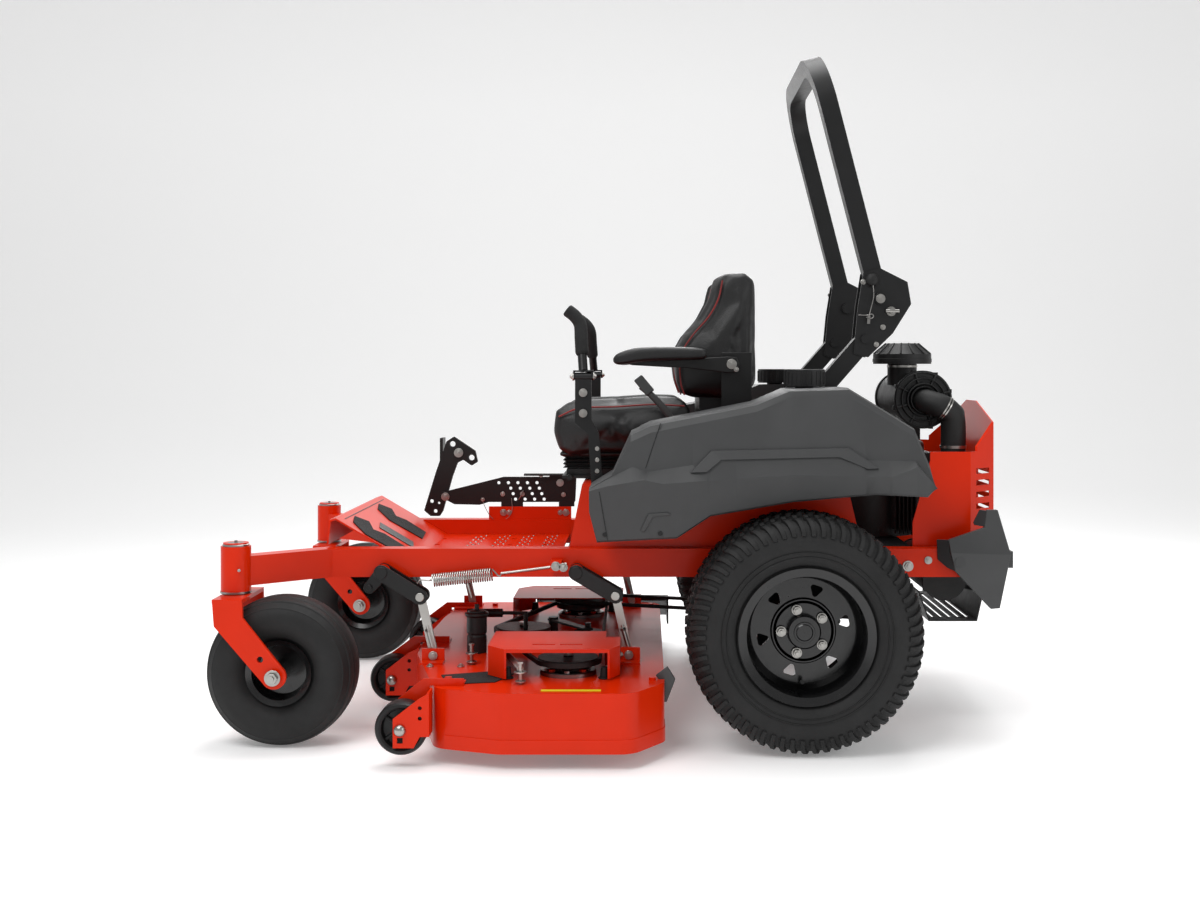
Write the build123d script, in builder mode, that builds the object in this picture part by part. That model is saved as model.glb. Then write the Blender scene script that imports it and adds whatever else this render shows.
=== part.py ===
"""Zero turn mower with an offset side-discharge deck, folding roll bar and suspended seat.

Frame: +X towards the rear of the machine, -Y towards the operator's left, +Z up.
The origin is on the ground under the middle of the machine. Lengths are in millimetres.
"""
import os
from math import cos, radians, sin

from build123d import *

# Frame weldment
RAIL_IN, RAIL_OUT = 345.0, 396.0
RAIL_LOW, RAIL_TOP = 405.0, 481.0
RAIL_FRONT, RAIL_REAR = -800.0, 930.0
RAIL_Y = (RAIL_IN + RAIL_OUT) / 2
TUBE_WALL = 5.0

# Casters
CASTER_X, CASTER_Y = -994.0, 545.0
CASTER_R, CASTER_LOW, CASTER_TOP = 38.1, 387.5, 507.5
STEM_R = 19.0
TRAIL = 124.0
FRONT_R, FRONT_HALF_WIDTH = 190.5, 80.0
FORK_LEG_Y = 100.0
AXLE_BOLT_R = 9.5

# Drive wheels
REAR_X, REAR_Z, REAR_R = 463.0, 300.0, 300.0
REAR_Y, REAR_HALF_WIDTH = 570.0, 150.0
RIM_LIP_R, RIM_HALF_WIDTH = 171.0, 134.0
DISC_Y = 600.0
LUG_CIRCLE_R, LUG_COUNT = 57.15, 5
HUB_R = 19.0

# Fits
RUN = 0.05
GAP = 0.5

# Footwell and seat pod
FLOOR_Z, FLOOR_T = 430.0, 4.0
FOOT_HALF_WIDTH = 344.0
POD_HALF_WIDTH, POD_TOP, POD_REAR = 370.0, 650.0, 440.0
SHEET = 4.0

# Fenders
FENDER_IN, FENDER_SLOT, FENDER_OUT = 372.0, 425.0, 620.0
FENDER_WALL = 6.0
FENDER_OUTLINE = [
    (-89, 654), (-56, 522), (142, 534), (223.5, 587.5), (646.5, 647.5), (778.5, 635.5), (799, 660),
    (784, 737.5), (760, 800.5), (676, 852), (579, 915), (428.5, 909), (360, 878), (76, 824),
    (25, 800.5), (-23, 695.5), (4, 665.5),
]
CAP_X, CAP_Y, CAP_R, CAP_LOW, CAP_TOP = 485.0, 437.0, 56.0, 917.0, 963.0

# Control levers
LEVER_X, LEVER_Y, LEVER_Z = -64.5, 400.0, 600.0
HINGE_X, HINGE_Z = -104.0, 944.0
LEVER_PIN_R = 10.0

# Seat
SEAT_TILT_X, SEAT_TILT_Z = -150.0, 655.0
CUSHION_HALF, BACK_HALF = 250.0, 235.0
ARM_PIVOT_X, ARM_PIVOT_Z, ARM_Y = 302.0, 977.0, 264.0
ARM_PIN_R = 8.0

# Roll bar
ROPS_Y, ROPS_TUBE = 319.0, 49.0
PIVOT_X, PIVOT_Z, PIVOT_R = 700.0, 1154.0, 10.0
HOOP_LEAN = 14.4
HOOP_TOP = 1845.0
HOOP_CORNER = 135.0
LOCK_R = 8.0

# Deck
DECK_TOP, DECK_LOW, DECK_SHEET = 186.0, 40.0, 5.0
DECK_OUTLINE = [
    (110, -690), (30, -810), (-290, -810), (-453, -750), (-560, -330), (-572, -100), (-565, 250),
    (-545, 450), (-480, 530), (110, 530),
]
DECK_CORNER = 60.0
SPINDLES = {"left": (-135.0, -575.0), "centre": (-285.0, -145.0), "right": (-140.0, 285.0)}
SPINDLE_R, BLADE_HALF, BLADE_Z = 12.5, 222.0, 76.0
PULLEY_R, PULLEY_LOW, PULLEY_TOP = 77.0, 212.0, 228.0
BELT_T = 8.0
DRIVE_BELT_Z = 234.0
PTO_X = 720.0
COVER_TOP = 264.0
CHUTE_X, CHUTE_HINGE_Y, CHUTE_HINGE_Z, CHUTE_TIP_Y = (-300.0, 140.0), 540.0, 196.0, 810.0
SCALP_R, SCALP_HALF_WIDTH, SCALP_Z = 63.5, 30.0, 95.0
SCALP_WHEELS = {"left": (-528.0, -760.0), "centre": (-645.0, -205.0), "right": (-632.0, 380.0)}
SCALP_FLANGE_X = {"left": -463.0, "centre": -574.0, "right": -562.5}
SCALP_BOLT_R = 8.0

# Deck lift
LIFT_PIN_R, HANGER_PIN_R = 12.0, 8.0
ARM_LOW_Y, ARM_HIGH_Y = 399.0, 411.0
HANGER_LOW_Y, HANGER_HIGH_Y = 424.0, 436.0
LIFT_STATIONS = {
    "front": {"pivot": (-638.0, 423.0), "pin": (-535.0, 359.0), "foot": (-500.0, 206.0)},
    "rear": {"pivot": (-121.0, 423.0), "pin": (-17.0, 362.0), "foot": (18.5, 206.0)},
}
PEDAL_X, PEDAL_Z, PEDAL_Y = -612.0, 506.0, 368.0
PEDAL_PIVOT_R = 6.0

# Cutting height selector
SELECTOR_Y = (352.0, 358.0)
SELECTOR_FOOT_Y, SELECTOR_FOOT_TOP = (348.0, 360.0), 522.0
SELECTOR_HOLE_X, SELECTOR_PITCH = -377.0, 30.6
SELECTOR_OUTLINE = [
    (-596, 566), (-586, 547), (-550, 529), (-469, 527), (-440, 536), (-162, 536), (-158, 628), (-240, 626),
    (-246, 617), (-392, 617),
]

# Engine
ENGINE_X, ENGINE_LOW, ENGINE_TOP = 720.0, 482.0, 650.0
CANISTER_X, CANISTER_Z, CANISTER_R = 845.0, 877.0, 76.0
INTAKE_X, INTAKE_Y, INTAKE_R = 923.0, -236.0, 32.0
MUFFLER_X, MUFFLER_Z, MUFFLER_R = 903.0, 375.0, 60.0
GUARD_REAR, GUARD_HALF = 1030.0, 343.0

SIDES = {"left": -1, "right": 1}


def save(piece, name):
    """Label a finished piece and write its STEP file."""
    piece.part.label = name
    export_step(piece.part, f"parts/{name}.step")


def block(x, y, z, mode=Mode.ADD):
    """Box given as a low and a high value on each axis."""
    spans = [sorted(span) for span in (x, y, z)]
    with Locations(tuple((low + high) / 2 for low, high in spans)):
        Box(*[high - low for low, high in spans], mode=mode)


def rod(start, end, radius, mode=Mode.ADD):
    """Round bar between two points."""
    axis = Vector(*end) - Vector(*start)
    with BuildSketch(Plane(origin=start, z_dir=axis)) as section:
        Circle(radius)
    extrude(section.sketch, amount=axis.length, mode=mode)


def cross_rod(x, z, y_from, y_to, radius, mode=Mode.ADD):
    """Round bar lying across the machine."""
    rod((x, y_from, z), (x, y_to, z), radius, mode)


def post(x, y, z_from, z_to, radius, mode=Mode.ADD):
    """Upright round bar."""
    rod((x, y, z_from), (x, y, z_to), radius, mode)


def beam(start, end, width, height, wall=0.0):
    """Rectangular bar, or a tube when it has a wall, between two points."""
    axis = Vector(*end) - Vector(*start)
    flat = abs(axis.Y) < 1e-6
    side = Vector(0, 1, 0) if flat else axis.cross(Vector(0, 0, 1))
    with BuildSketch(Plane(origin=start, x_dir=side, z_dir=axis)) as section:
        Rectangle(width, height)
        if wall:
            Rectangle(width - 2 * wall, height - 2 * wall, mode=Mode.SUBTRACT)
    extrude(section.sketch, amount=axis.length)


def plate(points, y_from, y_to, mode=Mode.ADD, corner=0.0):
    """Plate that stands fore and aft: its outline is in X and Z."""
    with BuildSketch(Plane.XZ.offset(-(y_from + y_to) / 2)) as outline:
        with BuildLine():
            Polyline(*points, close=True)
        make_face()
        if corner:
            fillet(outline.vertices(), corner)
    extrude(outline.sketch, amount=abs(y_to - y_from) / 2, both=True, mode=mode)


def slab(points, z_from, z_to, mode=Mode.ADD, corner=0.0, inset=0.0):
    """Flat plate that lies level: its outline is in X and Y."""
    with BuildSketch(Plane.XY.offset(z_from)) as outline:
        with BuildLine():
            Polyline(*points, close=True)
        make_face()
        if corner:
            fillet(outline.vertices(), corner)
        if inset:
            offset(amount=-inset, mode=Mode.REPLACE)
    extrude(outline.sketch, amount=z_to - z_from, mode=mode)


def link(start, end, radius, y_from, y_to):
    """Flat bar with round ends between two points in X and Z."""
    along = Vector(*end) - Vector(*start)
    with BuildSketch(Plane.XZ.offset(-(y_from + y_to) / 2)) as outline:
        with Locations(start, end):
            Circle(radius)
        with Locations(Location(Vector(*start) + along * 0.5, (0, 0, _heading(along)))):
            Rectangle(along.length, 2 * radius)
    extrude(outline.sketch, amount=abs(y_to - y_from) / 2, both=True)


def _heading(along):
    """Angle of a direction in its own plane, in degrees."""
    return Vector(1, 0, 0).get_signed_angle(along, Vector(0, 0, 1))


def mirrored(half_outline):
    """Complete a wheel outline from its positive half."""
    return half_outline + [(-across, radius) for across, radius in reversed(half_outline)]


def wheel_profile(points, x, y, z, soft=0.0, soft_from=0.0):
    """Turn an outline, given as (distance along the axle, radius), about an axle across the machine."""
    with BuildSketch(Plane(origin=(x, y, z), x_dir=(0, 1, 0), z_dir=(1, 0, 0))) as outline:
        with BuildLine():
            Polyline(*points, close=True)
        make_face()
        if soft:
            fillet(outline.vertices().filter_by_position(Axis.Y, soft_from, REAR_R), soft)
    revolve(outline.sketch, axis=Axis((x, y, z), (0, 1, 0)))


# ---------------------------------------------------------------- frame weldment
def make_frame_rails():
    """Two straight tubes with flared front arms, caster heads and lift pins, welded together."""
    with BuildPart() as rails:
        for side in SIDES.values():
            beam((RAIL_FRONT, side * RAIL_Y, 443), (RAIL_REAR, side * RAIL_Y, 443), 51, 76, TUBE_WALL)
            beam((RAIL_FRONT + 22, side * (RAIL_Y - 8), 443), (CASTER_X, side * CASTER_Y, 443), 51, 76)
            post(CASTER_X, side * CASTER_Y, CASTER_LOW, CASTER_TOP, CASTER_R)
            post(CASTER_X, side * CASTER_Y, CASTER_TOP, CASTER_TOP + 9, CASTER_R - 6)
            post(CASTER_X, side * CASTER_Y, CASTER_LOW, CASTER_TOP - 7, STEM_R + RUN, Mode.SUBTRACT)
            for station in LIFT_STATIONS.values():
                x, z = station["pivot"]
                cross_rod(x, z, side * (RAIL_OUT - 3), side * (ARM_HIGH_Y + 3), LIFT_PIN_R)
                cross_rod(x, z, side * (ARM_HIGH_Y + 2), side * (ARM_HIGH_Y + 7), LIFT_PIN_R + 7)
            block((-190, -160), (side * (RAIL_OUT - 1), side * 442), (424, 452))
        block((-439, -175), SELECTOR_FOOT_Y, (RAIL_TOP - 1, SELECTOR_FOOT_TOP))
    save(rails, "frame_rails")


def make_frame_brackets():
    """Cross members, engine plate, battery and the cutting height selector."""
    with BuildPart() as brackets:
        for x_from, x_to in ((-772, -722), (-172, -122), (240, 290), (790, 830)):
            block((x_from, x_to), (-RAIL_IN, RAIL_IN), (RAIL_LOW + 2, RAIL_LOW + 19))
        block((560, 785), (-RAIL_IN, RAIL_IN), (RAIL_TOP - 9, RAIL_TOP))
        post(ENGINE_X, 0, RAIL_TOP - 10, RAIL_TOP + 1, 60, Mode.SUBTRACT)
        block((60, 292), (-90, 90), (RAIL_LOW + 19, RAIL_LOW + 27))
        block((70, 230), (-80, 80), (RAIL_LOW + 27, 620))
        plate(SELECTOR_OUTLINE, *SELECTOR_Y, corner=5)
        block((-400, -330), SELECTOR_Y, (SELECTOR_FOOT_TOP, 540))
        block((-215, -165), SELECTOR_Y, (SELECTOR_FOOT_TOP, 540))
        block((-325, -160), (SELECTOR_Y[0] - 26, SELECTOR_Y[1]), (622, 628))
        for row in range(4):
            for column in range(4):
                x = SELECTOR_HOLE_X + SELECTOR_PITCH * column + row * SELECTOR_PITCH / 4
                cross_rod(x, 598 - 17.6 * row, 350, 360, 5, Mode.SUBTRACT)
        cross_rod(SELECTOR_HOLE_X - SELECTOR_PITCH, 598, 350, 360, 5, Mode.SUBTRACT)
    save(brackets, "frame_brackets")


def make_floor_pan():
    """Floor between the rails, toe board and front apron, folded from one sheet."""
    half = FOOT_HALF_WIDTH
    profile = [
        (-180, FLOOR_Z), (-574, FLOOR_Z), (-780, 552), (-794, 548), (-800, 486), (-805, 486), (-799, 552),
        (-781, 558), (-571, FLOOR_Z + FLOOR_T), (-180, FLOOR_Z + FLOOR_T),
    ]
    with BuildPart() as floor:
        plate(profile, -half, half)
        with BuildSketch(Plane.XY.offset(FLOOR_Z - 1)) as drains:
            with Locations((-400, 0)):
                with GridLocations(110, 150, 4, 4):
                    Circle(9)
        extrude(drains.sketch, amount=FLOOR_T + 2, mode=Mode.SUBTRACT)
    save(floor, "floor_pan")


def make_seat_pod():
    """Red sheet box under the seat, standing on the rails."""
    half = POD_HALF_WIDTH
    side_outline = [(-143, RAIL_TOP), (-109, POD_TOP), (POD_REAR, POD_TOP), (POD_REAR, RAIL_TOP)]
    inner = [
        (-138, RAIL_TOP - 1), (-105, POD_TOP - SHEET), (POD_REAR + 1, POD_TOP - SHEET),
        (POD_REAR + 1, RAIL_TOP - 1),
    ]
    with BuildPart() as pod:
        plate(side_outline, -half, half)
        plate(inner, -half + SHEET, half - SHEET, Mode.SUBTRACT)
        for side in SIDES.values():
            cross_rod(LEVER_X, LEVER_Z, side * (half - 2), side * (LEVER_Y + 8), LEVER_PIN_R)
            cross_rod(LEVER_X, LEVER_Z, side * (LEVER_Y + 8), side * (LEVER_Y + 12), LEVER_PIN_R + 6)
            wing = [
                (POD_REAR - 40, RAIL_TOP + 2), (POD_REAR - 40, 640),
                (560, 700), (600, 690), (648, RAIL_TOP + 2),
            ]
            plate(wing, side * (half - 8), side * (half - 4))
    save(pod, "seat_pod")


def fender_inner_outline(start_x):
    """The part of the fender's outline that lies behind a given X."""
    upper = [point for point in FENDER_OUTLINE if point[0] >= start_x + 20]
    return [(start_x, 570)] + upper + [(start_x, 812)]


def make_fender(name, side):
    """Moulded fender, hollow and open underneath, round the fuel tank."""
    rear_cavity = [
        (330, 560), (340, 868), (428.5, 902), (575, 907), (668, 846), (750, 795), (770, 735), (760, 560),
    ]
    front_cavity = [(60, 500), (68, 792), (90, 806), (322, 858), (322, 560)]
    outer_wall = side * (FENDER_OUT - FENDER_WALL)
    with BuildPart() as fender:
        plate(FENDER_OUTLINE, side * FENDER_SLOT, side * FENDER_OUT)
        plate(fender_inner_outline(45), side * FENDER_IN, side * (FENDER_SLOT + 1))
        plate(rear_cavity, side * (FENDER_IN + FENDER_WALL), outer_wall, Mode.SUBTRACT)
        plate(front_cavity, side * (FENDER_SLOT + FENDER_WALL), outer_wall, Mode.SUBTRACT)
        outer = fender.edges().filter_by_position(Axis.Y, *sorted((side * 619.9, side * 620.1)))
        fillet(outer.filter_by_position(Axis.Z, 700, 1000), 9)
        post(CAP_X, side * CAP_Y, CAP_LOW - 60, CAP_LOW, 32)
        post(CAP_X, side * CAP_Y, CAP_LOW - 70, CAP_LOW + 1, 26, Mode.SUBTRACT)
    save(fender, f"fender_{name}")


def make_fuel_tanks():
    """Plastic fuel tank inside each fender with its filler neck."""
    outline = [(345, 632), (355, 850), (440, 880), (560, 884), (650, 836), (735, 770), (745, 668), (650, 666)]
    with BuildPart() as tanks:
        for side in SIDES.values():
            plate(outline, side * (FENDER_IN + 12), side * (FENDER_OUT - 12))
            post(CAP_X, side * CAP_Y, CAP_LOW - 71, CAP_LOW + 1, 33, Mode.SUBTRACT)
            post(CAP_X, side * CAP_Y, CAP_LOW - 80, CAP_LOW + 6, 25)
    save(tanks, "fuel_tanks")


def make_fuel_cap(name, side):
    """Ribbed screw cap over the filler neck."""
    rib_count, rib_r = 24, 2.2
    with BuildPart() as cap:
        post(CAP_X, side * CAP_Y, CAP_LOW + 1, CAP_TOP, CAP_R - 2)
        post(CAP_X, side * CAP_Y, CAP_LOW, CAP_LOW + 8, 25.5, Mode.SUBTRACT)
        with BuildSketch(Plane.XY.offset(CAP_LOW + 6)) as ribs:
            with Locations((CAP_X, side * CAP_Y)):
                with PolarLocations(CAP_R - 2, rib_count):
                    Circle(rib_r)
        extrude(ribs.sketch, amount=CAP_TOP - CAP_LOW - 12)
        fillet(cap.edges().filter_by_position(Axis.Z, CAP_TOP - 0.1, CAP_TOP + 0.1), 3)
    save(cap, f"fuel_cap_{name}")


# ---------------------------------------------------------------- engine and rear end
def make_engine():
    """Crankcase, two cylinders and the fan housing above them."""
    cylinder_angle, cylinder_length = 45, 205
    with BuildPart() as crankcase:
        post(ENGINE_X, 0, ENGINE_LOW, ENGINE_TOP, 140)
        post(ENGINE_X, 0, 295, ENGINE_LOW, 17)
        for side in SIDES.values():
            reach = cylinder_length + 20
            angle = radians(cylinder_angle)
            tip = (ENGINE_X + reach * cos(angle), side * reach * sin(angle), 570)
            beam((ENGINE_X, 0, 570), tip, 120, 130)
            for fin in range(6):
                along = 150 + 14 * fin
                x = ENGINE_X + along * cos(angle)
                y = side * along * sin(angle)
                step = Vector(cos(angle), side * sin(angle), 0) * 5
                beam((x, y, 570), (x + step.X, y + step.Y, 570), 150, 150)
    save(crankcase, "engine_block")
    with BuildPart() as blower:
        post(ENGINE_X, 0, ENGINE_TOP, 755, 165)
        for side in SIDES.values():
            block((ENGINE_X + 20, 880), (side * 40, side * 175), (ENGINE_TOP, 725))
        fillet(blower.edges().filter_by_position(Axis.Z, 754.9, 755.1), 18)
        post(ENGINE_X, 0, 745, 756, 105, Mode.SUBTRACT)
        with BuildSketch(Plane.XY.offset(744)) as screen:
            with Locations((ENGINE_X, 0)):
                with PolarLocations(70, 16):
                    Rectangle(50, 4)
                Circle(44)
        extrude(screen.sketch, amount=8)
    save(blower, "blower_housing")


def make_air_cleaner():
    """Canister across the machine with a conical precleaner and the intake elbow on its left lid."""
    x, z = CANISTER_X, CANISTER_Z
    with BuildPart() as cleaner:
        cross_rod(x, z, -200, 150, CANISTER_R)
        cross_rod(x, z, -206, -188, CANISTER_R + 6)
        cross_rod(x, z, 132, 144, CANISTER_R + 4)
        block((x - 40, x + 20), (-60, -20), (757, z - CANISTER_R + 8))
        post(805, -100, z + 40, 979, 42)
        post(805, -100, 978, 1006, 83)
        with Locations((805, -100, 1021)):
            Cone(83, 46, 32)
        rod((x + 4, -204, z), (INTAKE_X, INTAKE_Y, z - 40), INTAKE_R)
        with Locations((INTAKE_X, INTAKE_Y, z - 40)):
            Sphere(INTAKE_R)
        post(INTAKE_X, INTAKE_Y, 728, z - 40, INTAKE_R)
    save(cleaner, "air_cleaner")


def make_muffler():
    """Round silencer across the machine with its outlet and a louvred heat shield below."""
    slot_count = 5
    with BuildPart() as muffler:
        cross_rod(MUFFLER_X, MUFFLER_Z, -210, 210, MUFFLER_R)
        for side in SIDES.values():
            cross_rod(MUFFLER_X, MUFFLER_Z, side * 205, side * 214, MUFFLER_R + 3)
        rod((MUFFLER_X, -150, MUFFLER_Z), (1000, -150, 350), 20)
        plate(
            [(820, 345), (850, 262), (985, 262), (1000, 330), (996, 330), (982, 266), (853, 266), (824, 346)],
            -260, 260,
        )
        for index in range(slot_count):
            x = 868 + 24 * index
            block((x, x + 9), (-210, 210), (255, 270), Mode.SUBTRACT)
        block((840, 850), (-230, -222), (340, 404))
        block((840, 850), (222, 230), (340, 404))
    save(muffler, "muffler")


def make_engine_guard():
    """Red guard round the engine: side panels, bevelled corners and a louvred rear wall."""
    half, rear, sheet = GUARD_HALF, GUARD_REAR, SHEET
    outer = [(790, -half), (948, -half), (rear, -262), (rear, 262), (948, half), (790, half)]
    inner = [
        (789, -half + sheet), (946, -half + sheet), (rear - sheet, -260), (rear - sheet, 260),
        (946, half - sheet), (789, half - sheet),
    ]
    slot_count = 9
    with BuildPart() as guard:
        slab(outer, RAIL_TOP, 871)
        slab(inner, RAIL_TOP - 1, 872, Mode.SUBTRACT)
        for side in SIDES.values():
            block((780, 975), (side * 320, side * 350), (738, 880), Mode.SUBTRACT)
            with BuildSketch(Plane.YZ.offset(930)) as slope:
                with BuildLine():
                    Polyline(
                        (side * 60, 871), (side * 262, 816), (side * 330, 740), (side * 360, 740),
                        (side * 360, 890), (side * 60, 890), close=True,
                    )
                make_face()
            extrude(slope.sketch, amount=120, mode=Mode.SUBTRACT)
            for index in range(slot_count):
                z = 520 + 24 * index
                block((rear - 10, rear + 5), (side * 80, side * 230), (z, z + 9), Mode.SUBTRACT)
            for index in range(5):
                z = 548 + 32 * index
                block((968, 1014), (side * 260, side * 338), (z, z + 15), Mode.SUBTRACT)
            slope = [(780, 560), (790, 545), (838, 714), (838, 750), (780, 750)]
            plate(slope, side * 320, side * 350, Mode.SUBTRACT)
    save(guard, "engine_guard")


def make_rear_bumper():
    """Grey side plates joined by a cross tube behind the rails."""
    outline = [
        (870, 508), (966, 541), (972, 588), (1001, 588), (1036, 468), (1007, 326), (983, 324), (888, 424),
    ]
    with BuildPart() as bumper:
        for side in SIDES.values():
            plate(outline, side * 414, side * 426, corner=3)
            block((882, 925), (side * RAIL_OUT, side * 415), (430, 470))
            cross_rod(900, 450, side * 425, side * 434, 14)
        block((1009, 1045), (-415, 415), (432, 476))
    save(bumper, "rear_bumper")


def make_hydro_drives():
    """Two pumps between the rails, and a motor with its axle inside each drive wheel."""
    with BuildPart() as drives:
        for side in SIDES.values():
            block((360, 480), (side * 70, side * 210), (300, 404))
            post(420, side * 140, 222, 301, 14)
            post(420, side * 140, 212, 232, 60)
            motor_plate = [
                (375, 404), (360, 230), (400, 205), (530, 205), (560, 230), (550, 404), (540, 404),
                (540, 470), (390, 470), (390, 404),
            ]
            plate(motor_plate, side * RAIL_OUT, side * 409)
            cross_rod(REAR_X, REAR_Z, side * 408, side * 500, 74)
            cross_rod(REAR_X, REAR_Z, side * 499, side * 560, 40)
            cross_rod(REAR_X, REAR_Z, side * 559, side * 628, HUB_R)
    save(drives, "hydro_drives")


# ---------------------------------------------------------------- wheels
def make_front_wheel(name, side):
    """Caster wheel: smooth tyre and pressed rim."""
    x, y, z = CASTER_X + TRAIL, side * CASTER_Y, FRONT_R
    half, rim_r, bead_r = FRONT_HALF_WIDTH, 75.0, 74.0
    with BuildPart() as tyre:
        shoulder = [(47, rim_r), (53, 87), (half - 1, 112), (half - 1, 148), (58, 182), (30, FRONT_R)]
        wheel_profile(mirrored(shoulder), x, y, z, soft=14, soft_from=100)
    save(tyre, f"front_tyre_{name}")
    with BuildPart() as rim:
        wheel_profile([
            (-60, 84), (-56, 84), (-50, bead_r), (50, bead_r), (56, 84), (60, 84), (54, 70), (8, 62), (6, 24),
            (88, 24), (88, AXLE_BOLT_R + RUN), (-88, AXLE_BOLT_R + RUN), (-88, 24), (-6, 24), (-8, 62),
            (-54, 70),
        ], x, y, z)
    save(rim, f"front_rim_{name}")


def make_fork(name, side):
    """Bent caster fork with its stem and axle bolt."""
    x, y = CASTER_X, side * CASTER_Y
    axle_x, leg_t = x + TRAIL, 10
    leg = [
        (x - 31, 385), (x + 44, 385), (x + 46, 338), (axle_x + 22, 212), (axle_x - 22, 169), (x - 26, 318),
    ]
    with BuildPart() as fork:
        block((x - 31, x + 44), (y - FORK_LEG_Y - leg_t / 2, y + FORK_LEG_Y + leg_t / 2), (375, 385))
        post(x, y, 385, 387, 30)
        post(x, y, 384, CASTER_TOP - 9, STEM_R)
        for leg_side in (-1, 1):
            centre = y + leg_side * FORK_LEG_Y
            plate(leg, centre - leg_t / 2, centre + leg_t / 2)
            cross_rod(axle_x, FRONT_R, centre - leg_t / 2, centre + leg_t / 2, 31)
            cross_rod(axle_x - 34, FRONT_R + 44, centre - leg_t, centre + leg_t, 8, Mode.SUBTRACT)
        cross_rod(axle_x, FRONT_R, y - 113, y + 113, AXLE_BOLT_R)
        for leg_side in (-1, 1):
            cross_rod(axle_x, FRONT_R, y + leg_side * 105, y + leg_side * 117, 15)
    save(fork, f"fork_{name}")


def make_rear_wheel(name, side):
    """Drive wheel: turf tyre, and a pressed rim with its lug nuts."""
    x, y, z = REAR_X, side * REAR_Y, REAR_Z
    with BuildPart() as tyre:
        half = REAR_HALF_WIDTH
        shoulder = [(121, 158), (122, 173), (130, 176), (half, 200), (half, 250), (122, 292), (60, REAR_R)]
        wheel_profile(mirrored(shoulder), x, y, z, soft=18, soft_from=190)
    save(tyre, f"rear_tyre_{name}")
    disc = side * (DISC_Y - REAR_Y)
    with BuildPart() as rim:
        wheel_profile([
            (-RIM_HALF_WIDTH, RIM_LIP_R), (-128, RIM_LIP_R), (-124, 157), (124, 157), (128, RIM_LIP_R),
            (RIM_HALF_WIDTH, RIM_LIP_R), (129, 150), (-129, 150),
        ], x, y, z)
        section = [
            (-4, 151), (4, 151), (4, 84), (12, 80), (12, 40), (22, 40), (22, HUB_R + RUN), (-4, HUB_R + RUN),
        ]
        wheel_profile([(disc + side * across, radius) for across, radius in section], x, y, z)
        cross_rod(x, z, y + disc + side * 29, y + disc + side * 38, 26)
        cross_rod(x, z, y + disc + side * 21, y + disc + side * 30, 26)
        cross_rod(x, z, y + disc + side * 20, y + disc + side * 29, HUB_R + RUN, Mode.SUBTRACT)
        outside = Plane(origin=(x, y + disc, z), x_dir=(1, 0, 0), z_dir=(0, side, 0))
        with BuildSketch(outside.offset(-12)) as vents:
            with PolarLocations(107, 6, start_angle=12):
                RegularPolygon(24, 3, rotation=180)
            fillet(vents.vertices(), 7)
        extrude(vents.sketch, amount=24, mode=Mode.SUBTRACT)
        with BuildSketch(outside.offset(6)) as lugs:
            with PolarLocations(LUG_CIRCLE_R, LUG_COUNT, start_angle=36):
                RegularPolygon(11, 6)
        extrude(lugs.sketch, amount=18)
    save(rim, f"rear_rim_{name}")


# ---------------------------------------------------------------- control levers
def make_lever(name, side):
    """Lower lever bar on its pivot, and the folding grip tube above it."""
    inner, outer = side * (LEVER_Y - 6), side * (LEVER_Y + 6)
    outline = [
        (LEVER_X - 15, LEVER_Z), (LEVER_X + 15, LEVER_Z), (LEVER_X + 9, 700), (LEVER_X + 3, 790),
        (HINGE_X + 22, 830), (HINGE_X + 22, 936), (HINGE_X - 22, 936), (HINGE_X - 22, 820),
        (LEVER_X - 27, 790), (LEVER_X - 21, 700),
    ]
    with BuildPart() as arm:
        plate(outline, inner, outer)
        cross_rod(LEVER_X, LEVER_Z, inner, outer, 20)
        bore = (side * (LEVER_Y - 9), side * (LEVER_Y + 7))
        cross_rod(LEVER_X, LEVER_Z, *bore, LEVER_PIN_R + RUN, Mode.SUBTRACT)
        rod((HINGE_X - 22, side * LEVER_Y, HINGE_Z), (HINGE_X + 22, side * LEVER_Y, HINGE_Z), 10)
        for z in (845, 900):
            cross_rod(HINGE_X, z, outer, side * (LEVER_Y + 13), 8)
    save(arm, f"lever_arm_{name}")
    bend = (HINGE_X - 10, side * 357, 1085)
    tip = (HINGE_X - 50, side * 354, 1128)
    with BuildPart() as tube:
        for x in (HINGE_X - 27, HINGE_X + 22.5):
            rod((x, side * LEVER_Y, HINGE_Z), (x + 4.5, side * LEVER_Y, HINGE_Z), 11)
            block((x, x + 4.5), (side * LEVER_Y - 10, side * LEVER_Y + 10), (HINGE_Z, HINGE_Z + 15))
        block(
            (HINGE_X - 27, HINGE_X + 27),
            (side * LEVER_Y - 10, side * LEVER_Y + 10),
            (HINGE_Z + 11.5, HINGE_Z + 16),
        )
        rod((HINGE_X, side * LEVER_Y, HINGE_Z + 14), bend, 12)
        rod((HINGE_X - 5, side * 378, 1022), bend, 18)
        with Locations(bend):
            Sphere(18)
        rod(bend, tip, 18)
    save(tube, f"lever_tube_{name}")


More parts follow.
